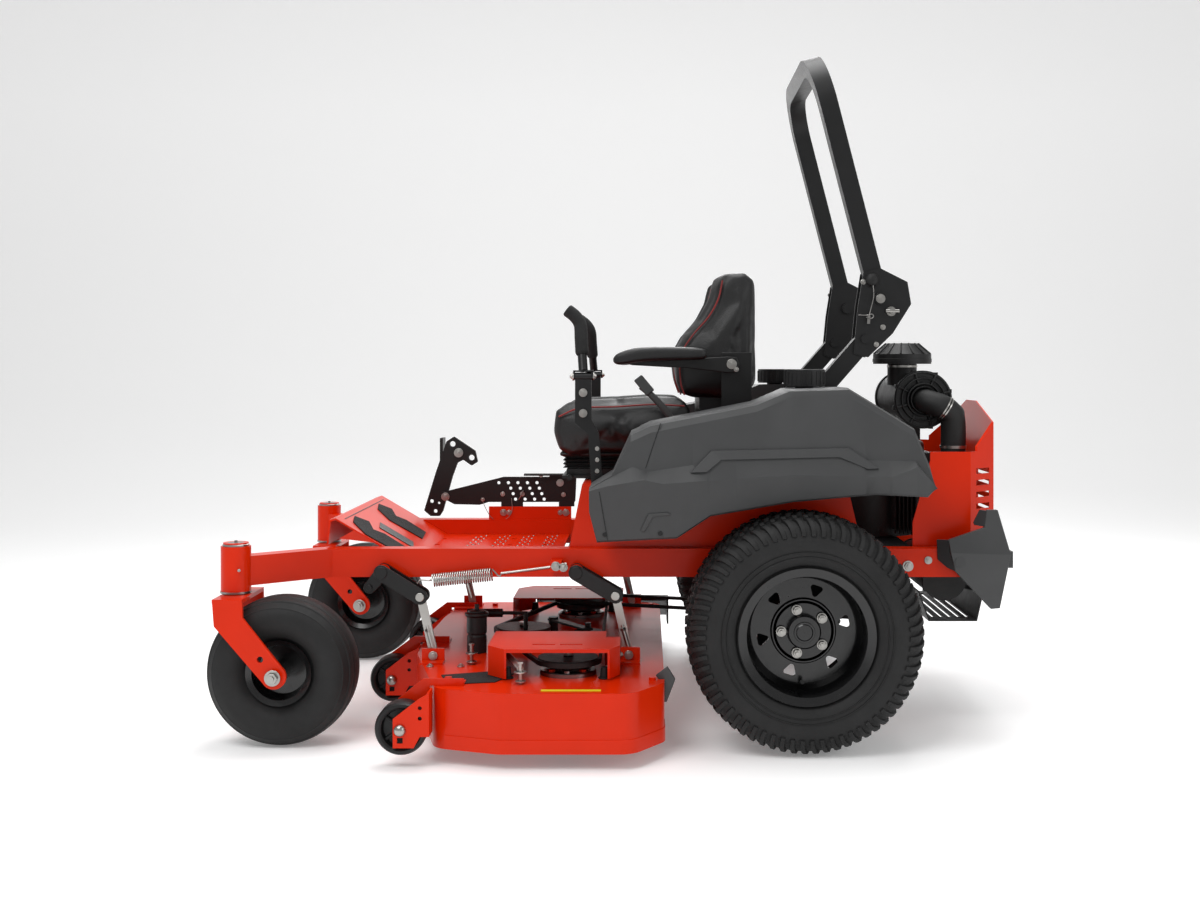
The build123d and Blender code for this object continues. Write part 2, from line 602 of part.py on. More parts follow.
# ---------------------------------------------------------------- seat
def make_seat():
    """Tilting base, suspension bellows, cushion, back and armrests."""
    with BuildPart() as base:
        block((-172, 330), (-205, 205), (655, 663))
        for side in SIDES.values():
            block((-160, 320), (side * 150, side * 190), (663, 681))
            cross_rod(SEAT_TILT_X, SEAT_TILT_Z + 4, side * 205, side * 225, 8)
    save(base, "seat_base")
    with BuildPart() as suspension:
        slab([(-160, -180), (300, -180), (300, 180), (-160, 180)], 683, 717, corner=30)
    save(suspension, "seat_suspension")
    with BuildPart() as cushion:
        half = CUSHION_HALF
        profile = [
            (-206, 790), (-196, 738), (-170, 722), (196, 722),
            (200, 868), (80, 872), (-120, 852), (-190, 842),
        ]
        plate(profile, -half, half)
        fillet(cushion.edges().filter_by(Axis.Y), 10)
    save(cushion, "seat_cushion")
    back_profile = [
        (307, 1248), (271, 1213), (260, 1146), (186, 1056), (162, 1010), (156, 940), (168, 882), (350, 882),
        (370, 920), (370, 1225), (345, 1248),
    ]
    with BuildPart() as back:
        plate(back_profile, -BACK_HALF, BACK_HALF)
        block((215, 360), (-180, 180), (719, 881))
        for side in SIDES.values():
            block((275, 360), (side * (BACK_HALF + 1), side * (BACK_HALF + 9)), (840, 1010))
            cross_rod(ARM_PIVOT_X, ARM_PIVOT_Z, side * (BACK_HALF + 8), side * (ARM_Y + 8), ARM_PIN_R)
            block((300, 350), (side * 179, side * (BACK_HALF + 9)), (840, 870))
    save(back, "seat_back")


def make_armrest(name, side):
    """Padded armrest on a tapered steel bracket."""
    bracket = [(ARM_PIVOT_X - 20, 960), (ARM_PIVOT_X - 20, 994), (40, 986), (-10, 984), (30, 972)]
    pad = [(-27, 998), (-18, 985), (233, 985), (233, 1022), (20, 1027), (-20, 1016)]
    with BuildPart() as arm:
        plate(bracket, side * (ARM_Y - 4), side * (ARM_Y + 4))
        cross_rod(ARM_PIVOT_X, ARM_PIVOT_Z, side * (ARM_Y - 4), side * (ARM_Y + 4), 22)
        bore = (side * (ARM_Y - 9), side * (ARM_Y + 9))
        cross_rod(ARM_PIVOT_X, ARM_PIVOT_Z, *bore, ARM_PIN_R + RUN, Mode.SUBTRACT)
        plate(pad, side * (ARM_Y - 4), side * 322)
    save(arm, f"armrest_{name}")


# ---------------------------------------------------------------- roll bar
def make_roll_bar():
    """Fixed posts with hinge plates, and the folding hoop between them."""
    rise = HOOP_TOP - 30 - PIVOT_Z
    lean = radians(HOOP_LEAN)
    length = rise / cos(lean)
    up = Vector(-sin(lean), 0, cos(lean))
    plates = [
        (628, 1005), (668, 995), (735, 1060), (785, 1140), (775, 1200), (700, 1238), (655, 1225), (640, 1130),
    ]
    with BuildPart() as posts:
        for side in SIDES.values():
            y = side * ROPS_Y
            beam((495, y, 410), (495, y, 862), 49, 49, TUBE_WALL)
            beam((484, y, 838), (672, y, 1054), 49, 49, TUBE_WALL)
            block((455, 540), (side * 294, side * 344.5), (412, 424))
            for face in (-1, 1):
                near, far = y + face * (ROPS_TUBE / 2 + GAP), y + face * (ROPS_TUBE / 2 + 6)
                plate(plates, near, far)
            cross_rod(PIVOT_X, PIVOT_Z, y - 31, y + 31, PIVOT_R)
            for face in (-1, 1):
                cross_rod(PIVOT_X, PIVOT_Z, y + face * 30, y + face * 42, 16)
                cross_rod(660, 1045, y + face * 30, y + face * 38, 12)
            cross_rod(730, 1120, y + side * 20, y + side * 45, LOCK_R + RUN, Mode.SUBTRACT)
            cross_rod(655, 1030, y - 31, y + 31, 10)
    save(posts, "rops_posts")
    path_plane = Plane(origin=(PIVOT_X, 0, PIVOT_Z), x_dir=(0, 1, 0), z_dir=Vector(0, 1, 0).cross(up))
    with BuildPart() as hoop:
        with BuildLine(path_plane) as path:
            FilletPolyline(
                (-ROPS_Y, -40), (-ROPS_Y, length), (ROPS_Y, length), (ROPS_Y, -40), radius=HOOP_CORNER,
            )
        with BuildSketch(Plane(origin=path.line @ 0, x_dir=(0, 1, 0), z_dir=path.line % 0)):
            Rectangle(ROPS_TUBE, ROPS_TUBE)
            Rectangle(ROPS_TUBE - 2 * TUBE_WALL, ROPS_TUBE - 2 * TUBE_WALL, mode=Mode.SUBTRACT)
        sweep(path=path.line)
        cross_rod(PIVOT_X, PIVOT_Z, -400, 400, PIVOT_R + RUN, Mode.SUBTRACT)
    save(hoop, "rops_hoop")
    for name, side in SIDES.items():
        with BuildPart() as pin:
            outer = ROPS_Y + ROPS_TUBE / 2
            cross_rod(730, 1120, side * (outer + 1), side * (outer + 34), LOCK_R)
            cross_rod(730, 1120, side * (outer + 7), side * (outer + 11), 13)
            rod((712, side * (outer + 30), 1120), (748, side * (outer + 30), 1120), 5)
        save(pin, f"rops_pin_{name}")


# ---------------------------------------------------------------- deck
def make_deck_shell():
    """Stamped deck: top sheet, deep skirt and a lower reinforcing band."""
    with BuildPart() as shell:
        slab(DECK_OUTLINE, DECK_LOW, DECK_TOP, corner=DECK_CORNER)
        slab(DECK_OUTLINE, DECK_LOW - 1, DECK_TOP - DECK_SHEET, Mode.SUBTRACT, DECK_CORNER, DECK_SHEET)
        for x, y in SPINDLES.values():
            post(x, y, 150, 200, 45, Mode.SUBTRACT)
        block((-290, 95), (515, 540), (DECK_LOW + 8, 160), Mode.SUBTRACT)
        for x in (-430, 80):
            post(x, -660, DECK_TOP, DECK_TOP + 8, 9)
            post(x, 460, DECK_TOP, DECK_TOP + 8, 9)
        post(-400, -310, DECK_TOP, 300, 23.5)
    save(shell, "deck_shell")


def make_deck_brackets():
    """Hanger brackets, spindle housings and the anti-scalp wheel brackets with their axle bolts."""
    with BuildPart() as brackets:
        for side in SIDES.values():
            for x_mid, top in ((-500, 222), (18.5, 226)):
                near, far = side * (HANGER_HIGH_Y + 2), side * (HANGER_HIGH_Y + 9)
                block((x_mid - 30, x_mid + 30), (near, far), (DECK_TOP, top))
                block((x_mid - 30, x_mid + 30), (near, side * (HANGER_HIGH_Y + 44)), (DECK_TOP, DECK_TOP + 6))
        for x, y in SPINDLES.values():
            post(x, y, DECK_TOP, 196, 70)
            post(x, y, 120, 205, 40)
            post(x, y, 110, 210, SPINDLE_R + RUN, Mode.SUBTRACT)
            with BuildSketch(Plane.XY.offset(196)) as nuts:
                with Locations((x, y)):
                    with PolarLocations(56, 4, start_angle=45):
                        RegularPolygon(9, 6)
            extrude(nuts.sketch, amount=7)
        for name, (x, y) in SCALP_WHEELS.items():
            inner = y + SCALP_HALF_WIDTH + 3
            outer = y - SCALP_HALF_WIDTH - 3
            edge = SCALP_FLANGE_X[name]
            arm = [
                (x - 16, SCALP_Z - 16), (x + 16, SCALP_Z - 16), (edge - 4, 150), (edge - 4, DECK_TOP + 1),
                (edge + 80, DECK_TOP + 1), (edge + 80, 204), (edge - 20, 204), (x - 16, SCALP_Z + 60),
            ]
            cheek = [
                (x - 17, 52), (x + 33, 52), (x + 48, 79), (edge + 5, 79), (edge + 5, DECK_TOP - 2),
                (x + 45, 170), (x - 17, 122),
            ]
            flange_edge = inner - 36 if name == "right" else inner + 45
            plate(arm, inner, inner + 6)
            plate(cheek, outer - 5, outer)
            block((edge, edge + 5), (outer - 5, y + 24), (79, DECK_TOP - 2))
            block((edge + 8, edge + 80), (inner, flange_edge), (DECK_TOP, DECK_TOP + 6))
            cross_rod(x, SCALP_Z, inner + 12, outer - 7, SCALP_BOLT_R)
            cross_rod(x, SCALP_Z, outer - 9, outer - 4, 13)
            for z in (123, 148):
                cross_rod(x + 48, z, outer - 6, outer + 1, 5, Mode.SUBTRACT)
            block((x - 7, x + 7), (outer - 6, outer + 1), (63, 77), Mode.SUBTRACT)
    save(brackets, "deck_brackets")


def make_belt_covers():
    """Folded red covers over the outer pulleys, open on the outer side and where the belt enters."""
    outline = [(-201, 155), (-201, -40), (-155, -92), (108, -92), (133, -40), (133, 75), (94, 75), (94, 155)]
    with BuildPart() as covers:
        for name, side in SIDES.items():
            x, y = SPINDLES[name]
            points = [(x + along, y - side * across) for along, across in outline]
            slab(points, DECK_TOP + 4, COVER_TOP)
            slab(points, DECK_TOP + 3, COVER_TOP - 3, Mode.SUBTRACT, inset=3)
            outer_edge = (y + side * 60, y + side * 100)
            inner_edge = (y - side * 120, y - side * 160)
            block((x - 150, x + 103), outer_edge, (DECK_TOP + 3, COVER_TOP - 9), Mode.SUBTRACT)
            block((x - 197, x + 90), inner_edge, (DECK_TOP + 3, COVER_TOP - 3), Mode.SUBTRACT)
            for slot_x in (x - 90, x - 20):
                slot_y = (y + side * 22, y + side * 34)
                block((slot_x, slot_x + 58), slot_y, (COVER_TOP - 4, COVER_TOP + 1), Mode.SUBTRACT)
        x, y = SPINDLES["right"]
        block((x + 80, x + 140), (y - 160, y + 60), (DECK_TOP + 3, COVER_TOP - 6), Mode.SUBTRACT)
    save(covers, "belt_covers")


def make_spindle(name, x, y):
    """Blade spindle with its shaft, pulley and blade."""
    with BuildPart() as spindle:
        post(x, y, 70, 232, SPINDLE_R)
        post(x, y, PULLEY_LOW, PULLEY_TOP, PULLEY_R)
        if name == "right":
            post(x, y, DRIVE_BELT_Z - 2, DRIVE_BELT_Z + 14, PULLEY_R)
            post(x, y, 226, 240, 30)
        block((x - 30, x + 30), (y - BLADE_HALF, y + BLADE_HALF), (BLADE_Z, BLADE_Z + 6))
        for tip in (-1, 1):
            lift_wing = (y + tip * 150, y + tip * BLADE_HALF)
            block((x + tip * 14, x + tip * 30), lift_wing, (BLADE_Z, BLADE_Z + 26))
        post(x, y, 82, 112, 22)
    save(spindle, f"spindle_{name}")


def make_belts():
    """Deck belt round the three spindles, and the drive belt back to the engine."""
    inner_r = PULLEY_R + 0.4
    with BuildPart() as deck_belt:
        with BuildSketch(Plane.XY.offset(PULLEY_LOW + 2)) as loop:
            with BuildLine():
                Polyline(*SPINDLES.values(), close=True)
            make_face()
            offset(amount=inner_r + BELT_T)
        with BuildSketch(Plane.XY.offset(PULLEY_LOW + 1)) as hole:
            with BuildLine():
                Polyline(*SPINDLES.values(), close=True)
            make_face()
            offset(amount=inner_r)
        extrude(loop.sketch, amount=12)
        extrude(hole.sketch, amount=14, mode=Mode.SUBTRACT)
    save(deck_belt, "deck_belt")
    run_from, run_to = SPINDLES["right"], (PTO_X, 0.0)
    along = Vector(*run_to) - Vector(*run_from)
    middle = Location(Vector(*run_from) + along * 0.5, (0, 0, _heading(along)))
    with BuildPart() as drive_belt:
        with BuildSketch(Plane.XY.offset(DRIVE_BELT_Z)) as loop:
            with Locations(middle):
                SlotCenterToCenter(along.length, 2 * (inner_r + BELT_T))
                SlotCenterToCenter(along.length, 2 * inner_r, mode=Mode.SUBTRACT)
        extrude(loop.sketch, amount=12)
    save(drive_belt, "drive_belt")
    with BuildPart() as pto:
        post(PTO_X, 0, DRIVE_BELT_Z - 4, DRIVE_BELT_Z + 16, PULLEY_R)
        post(PTO_X, 0, 249, 293, 60)
    save(pto, "pto_pulley")


def make_idler():
    """Spring-loaded idler pulley on its swing arm."""
    x = -137.5 + PULLEY_R - 38.2
    with BuildPart() as idler:
        post(x, -213, 212, 228, 38)
        post(x, -213, 226, 250, 9)
        slab([(x - 15, -228), (x + 15, -228), (-188, -70), (-222, -70)], 231, 237)
        post(-205, -75, 187, 242, 14)
    save(idler, "belt_idler")


def make_chute():
    """Discharge chute hinged along the deck's right edge."""
    y, z, tip = CHUTE_HINGE_Y, CHUTE_HINGE_Z, CHUTE_TIP_Y
    x_from, x_to = CHUTE_X
    sheet = 5
    with BuildPart() as chute:
        with BuildSketch(Plane.YZ.offset(x_from)) as profile:
            with BuildLine():
                Polyline(
                    (y, z - 4), (y + 120, z - 12), (tip - sheet, 96), (tip, 98), (y + 124, z - 7), (y, z + 2),
                    close=True,
                )
            make_face()
        extrude(profile.sketch, amount=x_to - x_from)
        for x in (x_from, x_to - sheet):
            with BuildSketch(Plane.YZ.offset(x)) as cheek:
                with BuildLine():
                    Polyline(
                        (y + 8, z - 4), (y + 120, z - 12), (tip - 6, 98), (tip - 60, 92), (y + 8, 110),
                        close=True,
                    )
                make_face()
            extrude(cheek.sketch, amount=sheet)
        rod((x_from + 10, y, z), (x_to - 10, y, z), 8)
    save(chute, "discharge_chute")


def make_scalp_wheel(name, x, y):
    """Anti-scalp roller."""
    with BuildPart() as wheel:
        half = SCALP_HALF_WIDTH
        wheel_profile([
            (-half, SCALP_R - 8), (-half + 8, SCALP_R), (half - 8, SCALP_R), (half, SCALP_R - 8),
            (half, SCALP_BOLT_R + RUN), (-half, SCALP_BOLT_R + RUN),
        ], x, y, SCALP_Z)
    save(wheel, f"anti_scalp_wheel_{name}")


# ---------------------------------------------------------------- deck lift
def make_lift_station(name, station):
    """Lift arms on both sides of one station, and the hangers below them."""
    pivot, pin, foot = station["pivot"], station["pin"], station["foot"]
    with BuildPart() as arms:
        for side in SIDES.values():
            link(pivot, pin, 20, side * ARM_LOW_Y, side * ARM_HIGH_Y)
            bore = (side * (ARM_LOW_Y - 1), side * (ARM_HIGH_Y + 1))
            cross_rod(*pivot, *bore, LIFT_PIN_R + RUN, Mode.SUBTRACT)
            cross_rod(*pin, side * ARM_HIGH_Y, side * (HANGER_HIGH_Y + 6), HANGER_PIN_R)
    save(arms, f"{name}_lift_arms")
    with BuildPart() as hangers:
        middle = tuple((a + b) / 2 for a, b in zip(pin, foot))
        for side in SIDES.values():
            link(pin, foot, 11, side * HANGER_LOW_Y, side * HANGER_HIGH_Y)
            y_mid = side * (HANGER_LOW_Y + HANGER_HIGH_Y) / 2
            rod((middle[0], y_mid, middle[1]), (foot[0], y_mid, foot[1] + 12), 7.5)
            bore = (side * (HANGER_LOW_Y - 1), side * (HANGER_HIGH_Y + 1))
            cross_rod(*pin, *bore, HANGER_PIN_R + RUN, Mode.SUBTRACT)
    save(hangers, f"{name}_hangers")


def make_lift_springs():
    """Assist springs with their eyebolts, one outside each rail."""
    with BuildPart() as springs:
        for side in SIDES.values():
            y = side * 430
            rod((-504, y, 401), (-345, y, 417), 16)
            rod((-545, y, 396), (-503, y, 401), 3)
            rod((-346, y, 417), (-191, y, 436), 4)
    save(springs, "lift_springs")


def make_pedal():
    """Deck lift pedal with its foot pad, on the right of the footwell."""
    y = PEDAL_Y
    outline = [
        (-628, 490), (-649, 508), (-611, 632), (-577, 730), (-553, 746), (-484, 700), (-476, 664),
        (-496, 652), (-523, 671), (-541, 661), (-557, 617), (-587, 508), (-598, 490),
    ]
    with BuildPart() as pedal:
        plate(outline, y - 6, y + 6, corner=6)
        cross_rod(PEDAL_X, PEDAL_Z, y - 8, y + 8, PEDAL_PIVOT_R, Mode.SUBTRACT)
        for x, z, radius in ((-557, 722, 9), (-496, 678, 9), (-624, 538, 6), (-601, 532, 4)):
            cross_rod(x, z, y - 8, y + 8, radius, Mode.SUBTRACT)
        cross_rod(-537, 694, y - 14, y + 14, 9)
        block((-600, -590), (y + 5, y + 66), (655, 740))
    save(pedal, "lift_pedal")


def main():
    os.makedirs("parts", exist_ok=True)
    make_frame_rails()
    make_frame_brackets()
    make_floor_pan()
    make_seat_pod()
    make_fuel_tanks()
    make_engine()
    make_air_cleaner()
    make_muffler()
    make_engine_guard()
    make_rear_bumper()
    make_hydro_drives()
    make_seat()
    make_roll_bar()
    make_deck_shell()
    make_deck_brackets()
    make_belt_covers()
    make_belts()
    make_idler()
    make_chute()
    make_lift_springs()
    make_pedal()
    for name, side in SIDES.items():
        make_fender(name, side)
        make_fuel_cap(name, side)
        make_front_wheel(name, side)
        make_fork(name, side)
        make_rear_wheel(name, side)
        make_lever(name, side)
        make_armrest(name, side)
    for name, (x, y) in SPINDLES.items():
        make_spindle(name, x, y)
    for name, (x, y) in SCALP_WHEELS.items():
        make_scalp_wheel(name, x, y)
    for name, station in LIFT_STATIONS.items():
        make_lift_station(name, station)


main()
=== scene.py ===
"""Looks of the zero turn mower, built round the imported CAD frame. Lengths are in metres."""
from math import cos, pi, radians, sin, sqrt, tan

import bmesh
import bpy
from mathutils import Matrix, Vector


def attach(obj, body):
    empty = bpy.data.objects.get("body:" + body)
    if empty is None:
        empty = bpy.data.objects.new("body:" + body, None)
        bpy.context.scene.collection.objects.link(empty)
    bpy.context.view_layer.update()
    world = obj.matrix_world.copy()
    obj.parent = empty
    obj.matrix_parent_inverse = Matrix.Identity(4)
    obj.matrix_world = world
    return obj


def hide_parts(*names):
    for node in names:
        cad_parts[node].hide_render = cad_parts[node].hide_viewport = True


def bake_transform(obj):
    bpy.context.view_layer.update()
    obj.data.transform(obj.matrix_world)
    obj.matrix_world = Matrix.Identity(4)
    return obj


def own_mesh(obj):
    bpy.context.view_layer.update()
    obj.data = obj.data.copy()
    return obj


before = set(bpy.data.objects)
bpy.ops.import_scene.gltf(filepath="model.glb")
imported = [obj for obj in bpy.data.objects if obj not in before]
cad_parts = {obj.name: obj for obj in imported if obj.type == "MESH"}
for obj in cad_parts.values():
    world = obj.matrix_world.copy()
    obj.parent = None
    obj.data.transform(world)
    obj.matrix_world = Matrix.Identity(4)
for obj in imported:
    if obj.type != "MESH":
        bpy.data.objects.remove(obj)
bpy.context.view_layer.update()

SIDES = {"left": -1, "right": 1}
CAMERA_PLACE = (0.0615, -4.23, 0.966)
CAMERA_LENS = 42.84
CAMERA_SHIFT = (-0.0375, -0.0683)


# ---------------------------------------------------------------- materials
def material(name, color, roughness, metallic=0.0, coat=0.0, grain=0.0, grain_scale=400.0, vary=0.12,
             vary_scale=9.0,
             rough_vary=0.08, dust=0.0, cells=False, specular=0.5, sheen=0.0):
    """Procedural surface: colour that varies softly, uneven gloss, and a fine grain as bump."""
    mat = bpy.data.materials.new(name)
    mat.use_nodes = True
    nodes, links = mat.node_tree.nodes, mat.node_tree.links
    shader = nodes["Principled BSDF"]
    shader.inputs["Metallic"].default_value = metallic
    shader.inputs["Coat Weight"].default_value = coat
    shader.inputs["Coat Roughness"].default_value = 0.12
    shader.inputs["Specular IOR Level"].default_value = specular
    shader.inputs["Sheen Weight"].default_value = sheen
    place = nodes.new("ShaderNodeTexCoord")
    soft = nodes.new("ShaderNodeTexNoise")
    soft.inputs["Scale"].default_value = vary_scale
    soft.inputs["Detail"].default_value = 6
    links.new(place.outputs["Object"], soft.inputs["Vector"])
    ramp = nodes.new("ShaderNodeValToRGB")
    ramp.color_ramp.elements[0].position = 0.3
    ramp.color_ramp.elements[1].position = 0.7
    dark = [c * (1 - vary) for c in color]
    light = [min(1.0, c * (1 + vary) + dust) for c in color]
    ramp.color_ramp.elements[0].color = (*dark, 1)
    ramp.color_ramp.elements[1].color = (*light, 1)
    links.new(soft.outputs["Fac"], ramp.inputs["Fac"])
    links.new(ramp.outputs["Color"], shader.inputs["Base Color"])
    fine = nodes.new("ShaderNodeTexNoise")
    fine.inputs["Scale"].default_value = 55.0
    fine.inputs["Detail"].default_value = 5
    links.new(place.outputs["Object"], fine.inputs["Vector"])
    gloss = nodes.new("ShaderNodeMapRange")
    gloss.inputs["To Min"].default_value = max(0.03, roughness - rough_vary)
    gloss.inputs["To Max"].default_value = min(1.0, roughness + rough_vary)
    links.new(fine.outputs["Fac"], gloss.inputs["Value"])
    links.new(gloss.outputs["Result"], shader.inputs["Roughness"])
    if grain:
        if cells:
            bumps = nodes.new("ShaderNodeTexVoronoi")
            bumps.inputs["Scale"].default_value = grain_scale
            height = bumps.outputs["Distance"]
        else:
            bumps = nodes.new("ShaderNodeTexNoise")
            bumps.inputs["Scale"].default_value = grain_scale
            bumps.inputs["Detail"].default_value = 3
            height = bumps.outputs["Fac"]
        links.new(place.outputs["Object"], bumps.inputs["Vector"])
        bump = nodes.new("ShaderNodeBump")
        bump.inputs["Strength"].default_value = grain
        bump.inputs["Distance"].default_value = 0.001
        links.new(height, bump.inputs["Height"])
        links.new(bump.outputs["Normal"], shader.inputs["Normal"])
    return mat


RED = material("red_paint_coat", (0.64, 0.021, 0.0005), 0.28, coat=0.08, vary=0.04, specular=0.14,
               rough_vary=0.0)
BLACK = material("black_powder_coat", (0.0042, 0.0042, 0.0046), 0.40, grain=0.2, grain_scale=900, vary=0.25,
                 specular=0.4)
GLOSS_BLACK = material("black_gloss_coat", (0.003, 0.003, 0.0034), 0.24, coat=0.3, specular=0.45)
GREY = material("grey_moulded_plastic", (0.040, 0.041, 0.042), 0.50, grain=0.4, grain_scale=1300, vary=0.08,
                specular=0.45)
GREY_STEEL = material("grey_painted_steel", (0.042, 0.043, 0.044), 0.42, grain=0.15, grain_scale=900,
                      vary=0.1)
PLASTIC = material("black_moulded_plastic", (0.0048, 0.0048, 0.0052), 0.45, grain=0.3, grain_scale=1100,
                   vary=0.2,
                   specular=0.4)
TYRE = material("tyre_rubber_compound", (0.0072, 0.0072, 0.0074), 0.66, grain=0.5, grain_scale=700, vary=0.35,
                dust=0.0015, specular=0.4)
RUBBER = material("black_rubber", (0.0055, 0.0055, 0.0056), 0.58, grain=0.3, grain_scale=600, vary=0.2,
                  specular=0.4)
FOAM = material("grip_foam_skin", (0.0062, 0.0062, 0.0066), 0.8, grain=0.8, grain_scale=1500, vary=0.3,
                cells=True)
VINYL = material("black_vinyl", (0.0058, 0.0058, 0.0062), 0.42, grain=0.5, grain_scale=420, vary=0.2,
                 cells=True,
                 specular=0.45)
RED_VINYL = material("red_vinyl", (0.20, 0.0045, 0.0035), 0.5, grain=0.5, grain_scale=420, vary=0.15,
                     cells=True)
ZINC = material("zinc_plate", (0.40, 0.39, 0.37), 0.30, metallic=1.0, grain=0.1, grain_scale=300, vary=0.12)
STEEL = material("bare_steel", (0.32, 0.31, 0.30), 0.30, metallic=1.0, grain=0.15, grain_scale=350, vary=0.25)
IRON = material("engine_castings", (0.012, 0.012, 0.0125), 0.45, metallic=0.3, grain=0.6, grain_scale=260,
                vary=0.25)
EXHAUST = material("exhaust_steel", (0.020, 0.020, 0.020), 0.45, metallic=0.6, grain=0.3, grain_scale=200,
                   vary=0.3)
MAT_GREY = material("grip_tape", (0.012, 0.012, 0.0125), 0.85, grain=1.0, grain_scale=1600, vary=0.3,
                    cells=True)
YELLOW = material("yellow_strip_paint", (0.72, 0.56, 0.01), 0.4, vary=0.06, grain=0.1)
BELT_GREY = material("belt_webbing", (0.045, 0.044, 0.044), 0.7, grain=0.9, grain_scale=900, vary=0.15)


# ---------------------------------------------------------------- mesh tools
class Kit:
    """Gathers shapes into one mesh, then makes it a piece that rides on a body."""

    def __init__(self):
        self.bm = bmesh.new()

    def loops(self, rings, close=True, caps=True):
        """Skin a list of equal rings of points."""
        rows = [[self.bm.verts.new(point) for point in ring] for ring in rings]
        count = len(rows[0])
        spans = count if close else count - 1
        for first, second in zip(rows, rows[1:]):
            for i in range(spans):
                j = (i + 1) % count
                self.bm.faces.new((first[i], first[j], second[j], second[i]))
        if caps:
            self.bm.faces.new(list(reversed(rows[0])))
            self.bm.faces.new(rows[-1])
        return rows

    def box(self, low, high):
        (x0, y0, z0), (x1, y1, z1) = low, high
        ring = [(x0, y0), (x1, y0), (x1, y1), (x0, y1)]
        self.loops([[(x, y, z0) for x, y in ring], [(x, y, z1) for x, y in ring]])

    def rod(self, start, end, radius, end_radius=None, sides=32):
        """Round or many-sided bar between two points, tapered if it has an end radius."""
        start, end = Vector(start), Vector(end)
        far = radius if end_radius is None else end_radius
        across, up = _across(end - start)
        self.loops([
            [place + (across * cos(a) + up * sin(a)) * r for a in _angles(sides)]
            for place, r in ((start, radius), (end, far))
        ])

    def hose(self, points, radius, sides=16):
        """Round bar along a list of points."""
        points = [Vector(p) for p in points]
        rings = []
        up = _across(points[1] - points[0])[1]
        for i, point in enumerate(points):
            before, after = points[max(i - 1, 0)], points[min(i + 1, len(points) - 1)]
            along = (after - before).normalized()
            side = along.cross(up).normalized()
            up = side.cross(along).normalized()
            r = radius(i / (len(points) - 1)) if callable(radius) else radius
            rings.append([point + (side * cos(a) + up * sin(a)) * r for a in _angles(sides)])
        self.loops(rings)

    def plate(self, outline, y_from, y_to):
        """Plate with its outline in X and Z."""
        self.loops([[(x, y_from, z) for x, z in outline], [(x, y_to, z) for x, z in outline]])

    def slab(self, outline, z_from, z_to):
        """Plate with its outline in X and Y."""
        self.loops([[(x, y, z_from) for x, y in outline], [(x, y, z_to) for x, y in outline]])

    def lathe(self, profile, centre, sides=64, axis="Y"):
        """Turn a closed outline of (distance along the axle, radius) pairs."""
        cx, cy, cz = centre
        rings = []
        for a in _angles(sides):
            if axis == "Y":
                rings.append([(cx + r * cos(a), cy + t, cz + r * sin(a)) for t, r in profile])
            elif axis == "Z":
                rings.append([(cx + r * cos(a), cy + r * sin(a), cz + t) for t, r in profile])
            else:
                rings.append([(cx + t, cy + r * cos(a), cz + r * sin(a)) for t, r in profile])
        rings.append(rings[0])
        self.loops(rings, caps=False)

    def bolt(self, place, direction, size=0.008, washer=True):
        """Hexagon head on a washer."""
        place, direction = Vector(place), Vector(direction).normalized()
        foot = place - direction * 0.002
        if washer:
            self.rod(foot, place + direction * 0.002, size * 1.4)
        self.rod(place, place + direction * size * 0.8, size, sides=6)
        self.rod(place + direction * size * 0.5, place + direction * size * 1.1, size * 0.5, sides=16)

    def dome(self, place, direction, radius):
        """Round button head."""
        place, direction = Vector(place), Vector(direction).normalized()
        across, up = _across(direction)
        rings = []
        for step in range(7):
            tilt = radians(14 * step)
            centre = place + direction * radius * 0.75 * sin(tilt)
            rings.append([centre + (across * cos(a) + up * sin(a)) * radius * cos(tilt) for a in _angles(24)])
        self.loops(rings)

    def make(self, name, body, mat, slot, bevel=0.0, segments=2, smooth=35, replaces=(), subdivide=0):
        """Turn the gathered shapes into a piece."""
        bmesh.ops.remove_doubles(self.bm, verts=self.bm.verts, dist=1e-6)
        bmesh.ops.recalc_face_normals(self.bm, faces=self.bm.faces)
        mesh = bpy.data.meshes.new(name)
        self.bm.to_mesh(mesh)
        self.bm.free()
        return finish_piece(mesh, name, body, mat, bevel, segments, smooth, replaces, subdivide)


def finish_piece(mesh, name, body, mat, bevel=0.0, segments=2, smooth=35, replaces=(), subdivide=0):
    """Give a mesh its edges, shading, material and body."""
    piece = bpy.data.objects.new(name, mesh)
    bpy.context.scene.collection.objects.link(piece)
    for mat_item in (mat if isinstance(mat, (list, tuple)) else [mat]):
        mesh.materials.append(mat_item)
    if bevel:
        edge = piece.modifiers.new("edges", "BEVEL")
        edge.width = bevel
        edge.segments = segments
        edge.limit_method = "ANGLE"
        edge.angle_limit = radians(30)
        edge.harden_normals = False
    if subdivide:
        surface = piece.modifiers.new("surface", "SUBSURF")
        surface.levels = surface.render_levels = subdivide
    shade(mesh, smooth)
    if body:
        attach(piece, body)
    if replaces:
        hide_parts(*replaces)
    return piece


def shade(mesh, angle):
    """Smooth faces with sharp edges past an angle."""
    bm = bmesh.new()
    bm.from_mesh(mesh)
    for face in bm.faces:
        face.smooth = True
    for edge in bm.edges:
        edge.smooth = len(edge.link_faces) == 2 and edge.calc_face_angle(0) < radians(angle)
    bm.to_mesh(mesh)
    bm.free()


def _angles(count):
    return [2 * pi * i / count for i in range(count)]


def _across(along):
    """Two directions square to a third."""
    along = Vector(along).normalized()
    helper = Vector((0, 0, 1)) if abs(along.z) < 0.9 else Vector((1, 0, 0))
    across = along.cross(helper).normalized()
    return across, across.cross(along).normalized()


